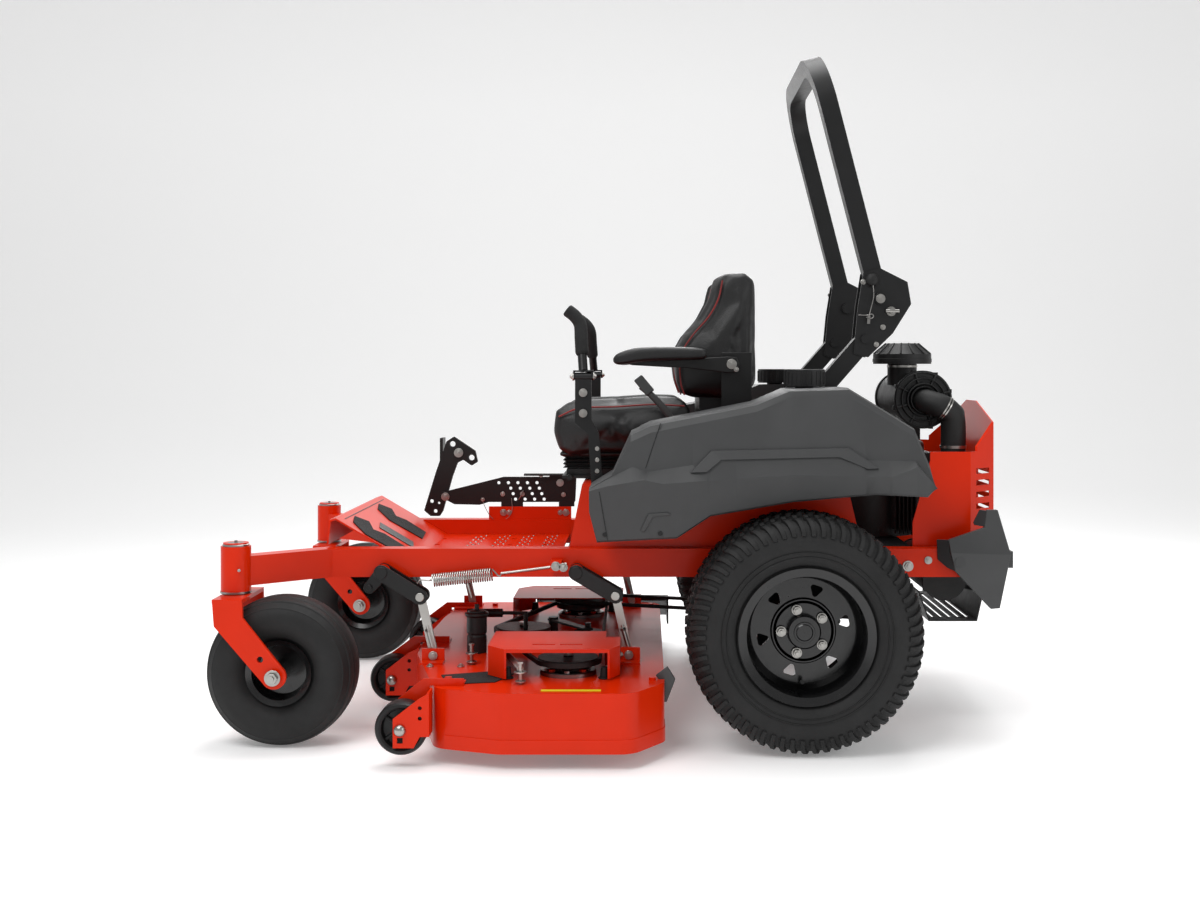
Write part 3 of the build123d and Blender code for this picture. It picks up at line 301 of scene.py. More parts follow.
def curve_through(points, steps=8):
    """Smooth list of points through the given ones."""
    points = [Vector(p) for p in points]
    ends = [points[0] * 2 - points[1]] + points + [points[-1] * 2 - points[-2]]
    line = []
    for i in range(len(points) - 1):
        a, b, c, d = ends[i:i + 4]
        for step in range(steps):
            t = step / steps
            line.append(0.5 * ((2 * b) + (c - a) * t + (2 * a - 5 * b + 4 * c - d) * t * t
                               + (3 * b - a - 3 * c + d) * t ** 3))
    return line + [points[-1]]


def paint(mat, *nodes):
    """Give CAD nodes a better material."""
    for node in nodes:
        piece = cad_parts[node]
        piece.data.materials.clear()
        piece.data.materials.append(mat)


def paint_cad():
    """Materials of the CAD nodes that stay."""
    paint(RED, "frame_rails", "floor_pan", "seat_pod", "engine_guard", "fork_left", "fork_right",
          "deck_shell",
          "deck_brackets", "belt_covers")
    paint(BLACK, "frame_brackets", "rops_posts", "rops_hoop", "seat_base", "lever_arm_left",
          "lever_arm_right",
          "lift_pedal", "belt_idler", "front_lift_arms", "rear_lift_arms", "discharge_chute", "hydro_drives")
    paint(GLOSS_BLACK, "front_rim_left", "front_rim_right", "rear_rim_left", "rear_rim_right")
    paint(PLASTIC, "blower_housing", "air_cleaner", "fuel_tanks", "fuel_cap_left", "fuel_cap_right")
    paint(GREY_STEEL, "rear_bumper")
    paint(IRON, "engine_block", "spindle_left", "spindle_centre", "spindle_right", "pto_pulley")
    paint(EXHAUST, "muffler")
    paint(RUBBER, "deck_belt")
    paint(ZINC, "front_hangers", "rear_hangers", "rops_pin_left", "rops_pin_right")


# ---------------------------------------------------------------- wheels
REAR_CENTRE_X, REAR_CENTRE_Z, REAR_CENTRE_Y = 0.463, 0.300, 0.570
TREAD_ROWS = 66


def make_rear_tyre(name, side):
    """Turf tyre: round carcass with curved lugs that wrap over the shoulder."""
    centre = (REAR_CENTRE_X, side * REAR_CENTRE_Y, REAR_CENTRE_Z)
    crown = [
        (-0.121, 0.160), (-0.123, 0.174), (-0.133, 0.181), (-0.144, 0.200), (-0.1485, 0.222), (-0.147, 0.244),
        (-0.140, 0.262), (-0.130, 0.276), (-0.116, 0.285), (-0.090, 0.289), (-0.045, 0.2915), (0.0, 0.2925),
    ]
    outline = crown + [(-t, r) for t, r in reversed(crown[:-1])]
    kit = Kit()
    kit.lathe(outline + [(0.110, 0.159), (-0.110, 0.159)], centre, sides=132)
    for ring_r, ring_t in ((0.200, 0.1445), (0.212, 0.1482)):
        for face in (-1, 1):
            kit.lathe([
                (face * (ring_t - 0.002), ring_r - 0.0015), (face * (ring_t + 0.0015), ring_r - 0.0008),
                (face * (ring_t + 0.0015), ring_r + 0.0008), (face * (ring_t - 0.001), ring_r + 0.0015),
            ], centre, sides=96)

    def on_tyre(across, angle, height):
        """Point on the carcass: across is signed arc length from the crown."""
        left, reach = abs(across), 0.0
        points = list(reversed(crown))
        for (t0, r0), (t1, r1) in zip(points, points[1:]):
            step = sqrt((t1 - t0) ** 2 + (r1 - r0) ** 2)
            if reach + step >= left or (t1, r1) == points[-1]:
                f = (left - reach) / step
                t, r = t0 + (t1 - t0) * f, r0 + (r1 - r0) * f
                nt, nr = -(r0 - r1) / step, -(t1 - t0) / step
                break
            reach += step
        t, r = t + nt * height, r + nr * height
        t = t if across < 0 else -t
        return (centre[0] + r * cos(angle), centre[1] + t, centre[2] + r * sin(angle))

    def lug(path, width, height):
        """Raised bar along (across, angle) points."""
        rings = []
        for i, (across, angle) in enumerate(path):
            end = i in (0, len(path) - 1)
            lift = height * (0.55 if end else 1.0)
            half, top = width / 2 / 0.29, width * 0.36 / 0.29
            rings.append([
                on_tyre(across, angle - half, -0.003), on_tyre(across, angle - top, lift),
                on_tyre(across, angle + top, lift), on_tyre(across, angle + half, -0.003),
            ])
        kit.loops(rings)

    pitch = 2 * pi / TREAD_ROWS
    for row in range(TREAD_ROWS):
        base = row * pitch
        for face in (-1, 1):
            shift = 0.5 * pitch if face > 0 else 0.0
            shoulder = [
                (face * s, base + shift + bend * pitch)
                for s, bend in ((0.098, 0.55), (0.112, 0.38), (0.126, 0.18), (0.140, 0.02), (0.152, -0.06),
                                (0.162, -0.08))
            ]
            lug(shoulder, 0.0155, 0.0078)
            middle = [
                (face * s, base + shift + bend * pitch)
                for s, bend in ((0.060, 0.15), (0.070, 0.42), (0.080, 0.50), (0.090, 0.42))
            ]
            lug(middle, 0.014, 0.0078)
            inner = [
                (face * s, base + shift + bend * pitch)
                for s, bend in ((0.012, 0.05), (0.026, -0.12), (0.040, -0.18), (0.052, -0.05))
            ]
            lug(inner, 0.014, 0.0075)
    kit.make(f"rear_tyre_tread_{name}", f"rear_wheel_{name}", TYRE, "tyre_rubber", smooth=40,
             replaces=(f"rear_tyre_{name}",))


def make_rear_rim_details(name, side):
    """Lug nuts, hub cap, valve and the stepped edge of the rim."""
    x, z = REAR_CENTRE_X, REAR_CENTRE_Z
    face = side * 0.606
    body = f"rear_wheel_{name}"
    nuts = Kit()
    for i in range(5):
        a = radians(36 + 72 * i)
        spot = (x + 0.05715 * cos(a), side * 0.616, z + 0.05715 * sin(a))
        nuts.rod(spot, (spot[0], side * 0.621, spot[2]), 0.0135)
        nuts.rod((spot[0], side * 0.6205, spot[2]), (spot[0], side * 0.6325, spot[2]), 0.0105, sides=6)
        nuts.rod((spot[0], side * 0.6325, spot[2]), (spot[0], side * 0.6375, spot[2]), 0.0055)
    nuts.make(f"rear_lug_nuts_{name}", body, ZINC, "zinc_steel", bevel=0.0006)
    ring = Kit()
    ring.lathe([(side * 0.0, 0.149), (side * 0.006, 0.1495), (side * 0.012, 0.135), (side * 0.004, 0.133)],
               (x, side * 0.600, z), sides=96)
    ring.lathe([(0.0, 0.079), (side * 0.006, 0.077), (side * 0.006, 0.070), (0.0, 0.068)], (x, face, z),
               sides=96)
    ring.lathe([(0.0, 0.044), (side * 0.026, 0.0425), (side * 0.029, 0.039), (side * 0.029, 0.027),
                (0.0, 0.026)],
               (x, face, z), sides=64)
    ring.lathe([(side * 0.020, 0.001), (side * 0.034, 0.001), (side * 0.034, 0.019), (side * 0.030, 0.0245),
                (side * 0.020, 0.026)], (x, face, z), sides=64)
    ring.make(f"rear_hub_rings_{name}", body, GLOSS_BLACK, "black_steel", smooth=30)
    valve = Kit()
    valve.rod((x - 0.010, side * 0.604, z - 0.138), (x - 0.006, side * 0.625, z - 0.128), 0.0045)
    valve.rod((x - 0.006, side * 0.625, z - 0.128), (x - 0.005, side * 0.632, z - 0.125), 0.0058)
    valve.make(f"rear_valve_{name}", body, RUBBER, "tyre_rubber")


def make_front_wheel(name, side):
    """Smooth caster tyre with rib rings, and the bright hub hardware."""
    centre = (-0.870, side * 0.545, 0.1905)
    body = f"front_wheel_{name}"
    half = [
        (0.047, 0.076), (0.050, 0.088), (0.062, 0.094), (0.073, 0.108), (0.0785, 0.126), (0.0775,
                                                                                          0.146), (0.071,
                                                                                                   0.163),
        (0.0695, 0.1645), (0.0690, 0.1675), (0.0655, 0.1690), (0.056, 0.179), (0.0545, 0.1795), (0.0535,
                                                                                                 0.1825),
        (0.0505, 0.1838), (0.036, 0.1880), (0.0345, 0.1870), (0.0325, 0.1870), (0.031, 0.1888), (0.0, 0.1903),
    ]
    tyre = Kit()
    tyre.lathe(half + [(-t, r) for t, r in reversed(half[:-1])], centre, sides=112)
    tyre.make(f"front_tyre_smooth_{name}", body, TYRE, "tyre_rubber", smooth=50,
              replaces=(f"front_tyre_{name}",))
    hub = Kit()
    for face in (-1, 1):
        hub.lathe([(face * 0.0885, 0.010), (face * 0.0925, 0.010), (face * 0.0925, 0.0225),
                   (face * 0.0885, 0.024)],
                  centre, sides=48)
    hub.make(f"front_hub_seals_{name}", body, STEEL, "zinc_steel", smooth=30)
    bolts = Kit()
    for face in (-1, 1):
        bolts.bolt((centre[0], centre[1] + face * 0.117, centre[2]), (0, face, 0), 0.0145)
    bolts.make(f"front_axle_bolts_{name}", f"fork_{name}", ZINC, "zinc_steel", bevel=0.0007)
    cap = Kit()
    top = [(0.0, 0.0005), (0.0, 0.0335), (0.004, 0.0335), (0.0065, 0.031), (0.0085, 0.024), (0.0093, 0.012),
           (0.0095, 0.0005)]
    cap.lathe(top, (-0.994, side * 0.545, 0.5078), sides=48, axis="Z")
    cap.rod((-0.994, side * 0.545, 0.517), (-0.994, side * 0.545, 0.5215), 0.004, sides=12)
    cap.lathe([(0.0, 0.0376), (0.0, 0.0395), (0.005, 0.0395), (0.005, 0.0376)],
              (-0.994, side * 0.545, 0.3872), axis="Z")
    cap.make(f"caster_cap_{name}", "chassis", STEEL, "zinc_steel", smooth=40)


def make_scalp_wheel(name, x, y):
    """Anti-scalp roller with a recessed spoked hub."""
    centre = (x, y, 0.095)
    kit = Kit()
    half = [(0.012, 0.0095), (0.024, 0.0095), (0.024, 0.018), (0.010, 0.021), (0.010, 0.044), (0.026, 0.048),
            (0.0295, 0.053), (0.0285, 0.060), (0.022, 0.0635)]
    kit.lathe(half + [(-t, r) for t, r in reversed(half)], centre, sides=64)
    for i in range(5):
        a = 2 * pi * i / 5
        for face in (-1, 1):
            start = (x + 0.018 * cos(a), y + face * 0.013, 0.095 + 0.018 * sin(a))
            end = (x + 0.047 * cos(a), y + face * 0.013, 0.095 + 0.047 * sin(a))
            kit.rod(start, end, 0.0045, sides=8)
    kit.make(f"anti_scalp_roller_{name}", f"anti_scalp_wheel_{name}", PLASTIC, "tyre_rubber", smooth=30,
             replaces=(f"anti_scalp_wheel_{name}",))
    bolt = Kit()
    bolt.dome((x, y - 0.0405, 0.095), (0, -1, 0), 0.0145)
    bolt.bolt((x, y + 0.041, 0.095), (0, 1, 0), 0.0095)
    bolt.make(f"anti_scalp_bolt_{name}", "deck", ZINC, "zinc_steel", smooth=50)


# ---------------------------------------------------------------- fenders
FENDER_TOP = [(-0.089, 0.656), (-0.023, 0.6965), (0.025, 0.8005), (0.076, 0.824), (0.345, 0.877),
              (0.4285, 0.912),
              (0.579, 0.916), (0.676, 0.856), (0.748, 0.8115), (0.784, 0.725), (0.7985, 0.666)]
FENDER_CREST = [(-0.089, 0.655), (-0.023, 0.690), (0.030, 0.716), (0.063, 0.702), (0.183, 0.7205),
                (0.218, 0.756), (0.578, 0.766), (0.621, 0.732), (0.748, 0.730), (0.7985, 0.665)]
FENDER_RIDGE = [(-0.089, 0.653), (-0.035, 0.668), (0.060, 0.684), (0.106, 0.674), (0.292, 0.6875),
                (0.439, 0.696), (0.687, 0.692), (0.750, 0.718), (0.7985, 0.663)]
FENDER_LOW = [(-0.089, 0.650), (-0.080, 0.600), (-0.0605, 0.524), (0.142, 0.534), (0.227, 0.590),
              (0.439, 0.6265), (0.6465, 0.6445), (0.7785, 0.6385), (0.7985, 0.661)]
FENDER_FACE, FENDER_RIDGE_OUT, FENDER_FOOT_OUT = 0.612, 0.636, 0.619


def height_at(line, x):
    """Height of a polyline at a place along the machine."""
    for (x0, z0), (x1, z1) in zip(line, line[1:]):
        if x <= x1:
            return z0 + (z1 - z0) * (x - x0) / (x1 - x0)
    return line[-1][1]


def fender_out(x, z):
    """How far the fender's side stands out at a place on it."""
    crest, ridge, low = (height_at(line, x) for line in (FENDER_CREST, FENDER_RIDGE, FENDER_LOW))
    if z >= crest:
        return FENDER_FACE - 0.02 * (z - crest)
    if z >= ridge:
        return FENDER_RIDGE_OUT + (FENDER_FACE - FENDER_RIDGE_OUT) * (z - ridge) / (crest - ridge)
    return FENDER_FOOT_OUT + (FENDER_RIDGE_OUT - FENDER_FOOT_OUT) * (z - low) / (ridge - low)


def on_fender(outline, side, lift):
    """Outline in X and Z laid on the fender's side."""
    return [(x, side * (fender_out(x, z) + lift), z) for x, z in outline]


def make_fender(name, side):
    """Moulded fender: a flared ridge along its side, a raised step above it and an undercut over the tyre."""
    lines = (FENDER_TOP, FENDER_CREST, FENDER_RIDGE, FENDER_LOW)
    stations = sorted({x for line in lines for x, _ in line} | {0.048, 0.050, -0.0885})
    stations = [x for i, x in enumerate(stations) if x > -0.089 and (i == 0 or x - stations[i - 1] > 0.0015)]
    rings = []
    for x in stations:
        top, crest, ridge, low = (height_at(line, x) for line in lines)
        inner = 0.430 if x < 0.049 else 0.380
        roll = min(0.022, (top - crest) * 0.45 + 0.0005)
        rings.append([
            (x, side * y, z) for y, z in (
                (inner, low), (FENDER_FOOT_OUT - 0.006, low), (FENDER_FOOT_OUT,
                                                               low + min(0.005, (ridge - low) * 0.3)),
                (FENDER_RIDGE_OUT, ridge), (FENDER_FACE, crest), (fender_out(x, top - roll), top - roll),
                (0.602, top - roll * 0.25), (0.585, top), (inner, top),
            )
        ])
    kit = Kit()
    kit.loops(rings)
    kit.make(f"fender_shell_{name}", "chassis", GREY, "grey_plastic", bevel=0.0022, segments=2, smooth=24,
             replaces=(f"fender_{name}",))
    step = Kit()
    outline = [(0.176, 0.702), (0.230, 0.757), (0.578, 0.764), (0.652, 0.713), (0.624, 0.711), (0.552, 0.741),
               (0.254, 0.734), (0.218, 0.704)]
    for a, b, c, d in ((0, 1, 6, 7), (1, 2, 5, 6), (2, 3, 4, 5)):
        part = [outline[i] for i in (a, b, c, d)]
        step.loops([on_fender(part, side, -0.004), on_fender(part, side, 0.0065)])
    notch = [(0.060, 0.552), (0.082, 0.590), (0.128, 0.596), (0.118, 0.602), (0.070, 0.598), (0.050, 0.556)]
    step.loops([on_fender(notch, side, -0.003), on_fender(notch, side, 0.003)])
    step.make(f"fender_step_{name}", "chassis", GREY, "grey_plastic", bevel=0.0012, segments=2)
    seam = Kit()
    for line in ([(0.100, 0.826), (0.062, 0.712)], [(-0.055, 0.655), (-0.034, 0.530)]):
        (x0, z0), (x1, z1) = line
        seam.loops([on_fender([(x0, z0), (x0 + 0.0022, z0), (x1 + 0.0022, z1), (x1, z1)], side, lift)
                    for lift in (-0.002, 0.0008)])
    seam.make(f"fender_seams_{name}", "chassis", PLASTIC, "grey_plastic")
    bolts = Kit()
    for x, z in ((-0.040, 0.545), (0.100, 0.548)):
        bolts.rod((x, side * 0.6180, z), (x, side * 0.6235, z), 0.006)
    bolts.make(f"fender_screws_{name}", "chassis", BLACK, "black_steel", bevel=0.0008)


# ---------------------------------------------------------------- seat
def cloth_pad(mesh, name, pressure, cap):
    """Swell a closed mesh as padded fabric and keep each point near its start."""
    source = bpy.data.objects.new(f"{name}_start", mesh)
    bpy.context.scene.collection.objects.link(source)
    remesh = source.modifiers.new("remesh", "REMESH")
    remesh.mode = "VOXEL"
    remesh.voxel_size = 0.0075
    remesh.use_smooth_shade = True
    graph = bpy.context.evaluated_depsgraph_get()
    start = bpy.data.meshes.new_from_object(source.evaluated_get(graph))
    bpy.data.objects.remove(source)
    pad = bpy.data.objects.new(f"{name}_cloth", start.copy())
    bpy.context.scene.collection.objects.link(pad)
    cloth = pad.modifiers.new("cloth", "CLOTH")
    cloth.settings.quality = 4
    cloth.settings.mass = 0.4
    cloth.settings.tension_stiffness = 30
    cloth.settings.compression_stiffness = 30
    cloth.settings.bending_stiffness = 2.0
    cloth.settings.use_pressure = True
    cloth.settings.uniform_pressure_force = pressure
    cloth.settings.effector_weights.gravity = 0
    cloth.point_cache.frame_start = 1
    cloth.point_cache.frame_end = 20
    for step in range(1, 21):
        bpy.context.scene.frame_set(step)
    graph = bpy.context.evaluated_depsgraph_get()
    result = bpy.data.meshes.new_from_object(pad.evaluated_get(graph))
    for before, after in zip(start.vertices, result.vertices):
        shift = after.co - before.co
        if shift.length > cap:
            after.co = before.co + shift.normalized() * cap
    bpy.data.objects.remove(pad)
    bpy.context.scene.frame_set(1)
    return result


def seat_outline(face, rest, facing, half, bolster, crown):
    """Closed cushion: a side outline carried across, its sitting face raised in bolsters."""
    bm = bmesh.new()
    rings = []
    stations = [-1.0, -0.985, -0.93, -0.80, -0.68, -0.60, -0.30, 0.0, 0.30, 0.60, 0.68, 0.80, 0.93, 0.985,
                1.0]
    points = [(Vector(p), Vector(facing)) for p in face] + [(Vector(p), Vector((0, 0))) for p in rest]
    middle = sum((point for point, out in points), Vector((0, 0))) / len(points)
    for s in stations:
        edge = abs(s)
        shrink = 0.80 if edge > 0.99 else 0.92 if edge > 0.98 else 0.98 if edge > 0.9 else 1.0
        swell = bolster if 0.66 < edge < 0.95 else (-crown if edge < 0.5 else 0.0)
        ring = []
        for point, out in points:
            spot = middle + (point - middle) * shrink + out * swell
            ring.append((spot.x, s * half, spot.y))
        rings.append(ring)
    rows = [[bm.verts.new(p) for p in ring] for ring in rings]
    count = len(rows[0])
    for first, second in zip(rows, rows[1:]):
        for i in range(count):
            j = (i + 1) % count
            bm.faces.new((first[i], first[j], second[j], second[i]))
    bm.faces.new(list(reversed(rows[0])))
    bm.faces.new(rows[-1])
    bmesh.ops.triangulate(bm, faces=[f for f in bm.faces if len(f.verts) > 4])
    bmesh.ops.recalc_face_normals(bm, faces=bm.faces)
    mesh = bpy.data.meshes.new("pad_start")
    bm.to_mesh(mesh)
    bm.free()
    return mesh


def make_seat():
    """Cushion and back in black vinyl with red inserts and piping."""
    top = [(-0.196, 0.842), (-0.120, 0.856), (-0.020, 0.860), (0.080, 0.866), (0.180, 0.864)]
    low = [(0.196, 0.850), (0.197, 0.800), (0.192, 0.732), (0.100, 0.726), (-0.160, 0.726), (-0.188, 0.740),
           (-0.202, 0.790)]
    mesh = cloth_pad(seat_outline(top, low, (0, 1), 0.243, 0.010, 0.006), "seat_cushion", 4.0, 0.010)
    stitch(mesh, lambda co: co.z > 0.835, lambda co: abs(co.y))
    cushion = finish_piece(mesh, "seat_cushion_vinyl", "seat", [VINYL, RED_VINYL], smooth=60,
                           replaces=("seat_cushion",), subdivide=1)
    face = [(0.168, 0.890), (0.157, 0.930), (0.158, 1.000), (0.190, 1.056), (0.236, 1.110), (0.263, 1.160),
            (0.275, 1.212), (0.300, 1.240)]
    rear = [(0.340, 1.244), (0.364, 1.222), (0.366, 1.100), (0.366, 0.930), (0.350, 0.888)]
    mesh = cloth_pad(seat_outline(face, rear, (-1, 0.1), 0.228, 0.012, 0.006), "seat_back", 4.0, 0.009)
    stitch(mesh, lambda co: co.x < 0.29 and co.z > 0.90, lambda co: abs(co.y))
    back = finish_piece(mesh, "seat_back_vinyl", "seat", [VINYL, RED_VINYL], smooth=60,
                        replaces=("seat_back",), subdivide=1)
    piping = Kit()
    for s in (-1, 1):
        for y, lift in ((0.150, 0.0), (0.238, -0.008)):
            path = [(x, s * y, z + 0.006 + lift) for x, z in top[1:-1]]
            front = [(-0.180, s * y, 0.838 + lift)]
            piping.hose(curve_through(front + path + [(0.172, s * y, 0.868 + lift)]), 0.0024, 10)
        path = [(x - 0.004, s * 0.140, z) for x, z in face[:-1]]
        piping.hose(curve_through(path), 0.0024, 10)
        path = [(x + 0.004, s * 0.226, z) for x, z in face[:-1]]
        piping.hose(curve_through(path), 0.0024, 10)
    piping.make("seat_piping", "seat", RED_VINYL, "vinyl", smooth=60)
    shell = Kit()
    shell.box((0.215, -0.180, 0.719), (0.355, 0.180, 0.890))
    for s in SIDES.values():
        shell.box((0.275, s * 0.236 - 0.004, 0.845), (0.360, s * 0.240 + 0.004, 1.010))
        shell.box((0.300, min(s * 0.17, s * 0.24), 0.845), (0.350, max(s * 0.17, s * 0.24), 0.868))
        shell.rod((0.302, s * 0.240, 0.977), (0.302, s * 0.272, 0.977), 0.0078)
    shell.make("seat_frame", "seat", BLACK, "black_steel", bevel=0.003)
    pan = Kit()
    pan.slab([(-0.178, -0.215), (0.200, -0.215), (0.200, 0.215), (-0.178, 0.215)], 0.718, 0.730)
    pan.make("seat_pan", "seat", PLASTIC, "black_plastic", bevel=0.006)
    bellows = Kit()
    folds = []
    for i in range(7):
        z = 0.6835 + 0.0055 * i
        out = 0.0 if i % 2 else 0.012
        folds.append([(x + (out if x > 0 else -out), y + (out if y > 0 else -out), z)
                      for x, y in ((-0.160, -0.178), (0.300, -0.178), (0.300, 0.178), (-0.160, 0.178))])
    bellows.loops(folds)
    sleeve = bellows.make("seat_bellows", "seat_carriage", RUBBER, "black_plastic", bevel=0.002,
                          replaces=("seat_suspension",))
    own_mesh(sleeve)
    for name, side in SIDES.items():
        make_armrest(name, side)
    buckle = Kit()
    buckle.hose(curve_through([(0.145, -0.262, 0.800), (0.125, -0.268, 0.840), (0.085, -0.270, 0.885),
                               (0.050, -0.268, 0.915)]),
                lambda t: 0.011 - 0.002 * t, 12)
    buckle.make("seat_belt_stalk", "seat", BELT_GREY, "vinyl", smooth=50)
    lock = Kit()
    lock.plate([(0.066, 0.888), (0.088, 0.905), (0.052, 0.948), (0.030, 0.931)], -0.282, -0.256)
    lock.make("seat_belt_buckle", "seat", GREY_STEEL, "vinyl", bevel=0.004, segments=3)
    strap = Kit()
    strap.hose(curve_through([(0.300, -0.262, 0.760), (0.240, -0.262, 0.775), (0.160, -0.262, 0.800)]), 0.008,
               10)
    strap.make("seat_belt_webbing", "seat", RUBBER, "vinyl")


def stitch(mesh, is_face, across):
    """Sew a channel along each bolster and colour the middle stripe red."""
    for vertex in mesh.vertices:
        if is_face(vertex.co):
            d = abs(across(vertex.co) - 0.150)
            vertex.co -= vertex.normal * 0.006 * max(0.0, 1 - d / 0.012)
    for face in mesh.polygons:
        centre = face.center
        if is_face(centre) and 0.082 < abs(centre.y) < 0.146:
            face.material_index = 1


def make_armrest(name, side):
    """Soft pad on the tapered bracket."""
    kit = Kit()
    rows = []
    for x, low, high, half in ((-0.027, 0.984, 0.992, 0.020), (-0.020, 0.975, 1.004, 0.027),
                               (0.000, 0.974, 1.013, 0.0300),
                               (0.030, 0.980, 1.022, 0.0310), (0.075, 0.987, 1.026, 0.0315), (0.190, 0.987,
                                                                                              1.024, 0.0310),
                               (0.222, 0.989, 1.021, 0.029), (0.233, 0.994, 1.015, 0.024)):
        ring = []
        for a in _angles(20):
            y = half * (abs(cos(a)) ** 0.55) * (1 if cos(a) > 0 else -1)
            z = (high - low) / 2 * (abs(sin(a)) ** 0.6) * (1 if sin(a) > 0 else -1)
            ring.append((x, side * 0.2905 + y, (low + high) / 2 + z))
        rows.append(ring)
    kit.loops(rows)
    pad = kit.make(f"armrest_pad_{name}", f"armrest_{name}", VINYL, "vinyl", smooth=60, subdivide=1,
                   replaces=(f"armrest_{name}",))
    bracket = Kit()
    outline = [(0.318, 0.955), (0.324, 0.977), (0.316, 0.996), (0.292, 0.998), (0.120, 0.987),
               (-0.004, 0.985), (0.020, 0.975), (0.180, 0.966), (0.290, 0.953)]
    bracket.plate(outline, side * 0.258, side * 0.268)
    bracket.make(f"armrest_bracket_{name}", f"armrest_{name}", BLACK, "black_steel", bevel=0.002)
    bolt = Kit()
    bolt.bolt((0.302, side * 0.268, 0.977), (0, side, 0), 0.010)
    bolt.bolt((0.315, side * 0.268, 0.962), (0, side, 0), 0.005)
    bolt.make(f"armrest_bolts_{name}", f"armrest_{name}", ZINC, "zinc_steel", bevel=0.0006)


# ---------------------------------------------------------------- controls
def make_lever(name, side):
    """Grip tube with a foam sleeve and its hinge clamp."""
    body = f"lever_tube_{name}"
    foot = (-0.104, side * 0.400, 0.958)
    bend = (-0.114, side * 0.359, 1.083)
    tip = (-0.1505, side * 0.355, 1.124)
    clamp = Kit()
    for x in (-0.131, -0.0815):
        clamp.rod((x, side * 0.400, 0.944), (x + 0.0045, side * 0.400, 0.944), 0.0108)
        clamp.box((x, side * 0.400 - 0.010, 0.944), (x + 0.0045, side * 0.400 + 0.010, 0.959))
    clamp.box((-0.131, side * 0.400 - 0.010, 0.9555), (-0.077, side * 0.400 + 0.010, 0.960))
    clamp.hose(curve_through([foot, (-0.108, side * 0.384, 1.006), bend], 6), 0.0125, 20)
    clamp.make(f"lever_hinge_{name}", body, BLACK, "black_steel", bevel=0.001, replaces=(body,))
    grip = Kit()
    line = curve_through([(-0.108, side * 0.386, 1.002), (-0.111, side * 0.372, 1.045), bend,
                          (-0.128, side * 0.3565, 1.106), tip], 8)
    grip.hose(line, lambda t: 0.0178 if 0.03 < t < 0.97 else 0.0150, 24)
    grip.make(f"lever_grip_{name}", body, FOAM, "grip_foam", smooth=60)
    bolt = Kit()
    bolt.bolt((-0.131, side * 0.400, 0.944), (-1, 0, 0), 0.0085)
    bolt.bolt((-0.077, side * 0.400, 0.944), (1, 0, 0), 0.0075)
    bolt.make(f"lever_hinge_bolt_{name}", body, ZINC, "zinc_steel", bevel=0.0006)
    bolts = Kit()
    for z in (0.845, 0.900):
        bolts.bolt((-0.104, side * 0.413, z), (0, side, 0), 0.008)
    for z in (0.690, 0.720, 0.750):
        bolts.rod((-0.0665, side * 0.4055, z), (-0.0665, side * 0.4075, z), 0.006)
    bolts.bolt((-0.0645, side * 0.412, 0.600), (0, side, 0), 0.009)
    bolts.make(f"lever_bolts_{name}", f"lever_arm_{name}", ZINC, "zinc_steel", bevel=0.0006)


# ---------------------------------------------------------------- deck lift and deck dressing
def make_springs():
    """Coil springs with hooks, stretched between the front lift arms and the rail brackets."""
    for name, side in SIDES.items():
        kit = Kit()
        y = side * 0.430
        start, end = Vector((-0.504, y, 0.401)), Vector((-0.345, y, 0.417))
        along = (end - start).normalized()
        across, up = _across(along)
        turns, per_turn = 26, 10
        points = []
        for i in range(turns * per_turn + 1):
            a = 2 * pi * i / per_turn
            points.append(start.lerp(end, i / (turns * per_turn)) + (across * cos(a) + up * sin(a)) * 0.0166)
        kit.hose(points, 0.0021, 6)
        kit.hose(curve_through([(-0.545, y, 0.392), (-0.535, y, 0.402), (-0.510, y, 0.401),
                                (-0.504, y, 0.414)]), 0.0022, 8)
        kit.hose(curve_through([(-0.345, y, 0.431), (-0.335, y, 0.420), (-0.326, y, 0.412),
                                (-0.320, y, 0.420)]), 0.0022, 8)
        kit.hose([(-0.322, y, 0.419), (-0.190, y, 0.436)], 0.004, 12)
        kit.make(f"lift_spring_{name}", "chassis", ZINC, "zinc_steel", smooth=60,
                 replaces=("lift_springs",) if side < 0 else ())
    nuts = Kit()
    for side in SIDES.values():
        nuts.bolt((-0.175, side * 0.442, 0.440), (0, side, 0), 0.009)
        nuts.rod((-0.160, side * 0.430, 0.439), (-0.146, side * 0.430, 0.441), 0.009, sides=6)
    nuts.make("spring_anchor_nuts", "chassis", ZINC, "zinc_steel", bevel=0.0006)


def link_outline(start, end, radius, steps=10):
    """Outline in the XZ plane of a bar with a round end about each of two points."""
    a, b = Vector(start), Vector(end)
    along = (b - a).normalized()
    across = Vector((-along.y, along.x))
    outline = []
    for centre, forward in ((b, along), (a, -along)):
        sideways = across if centre is b else -across
        for i in range(steps + 1):
            turn = pi * i / steps
            outline.append(tuple(centre + (sideways * cos(turn) + forward * sin(turn)) * radius))
    return outline


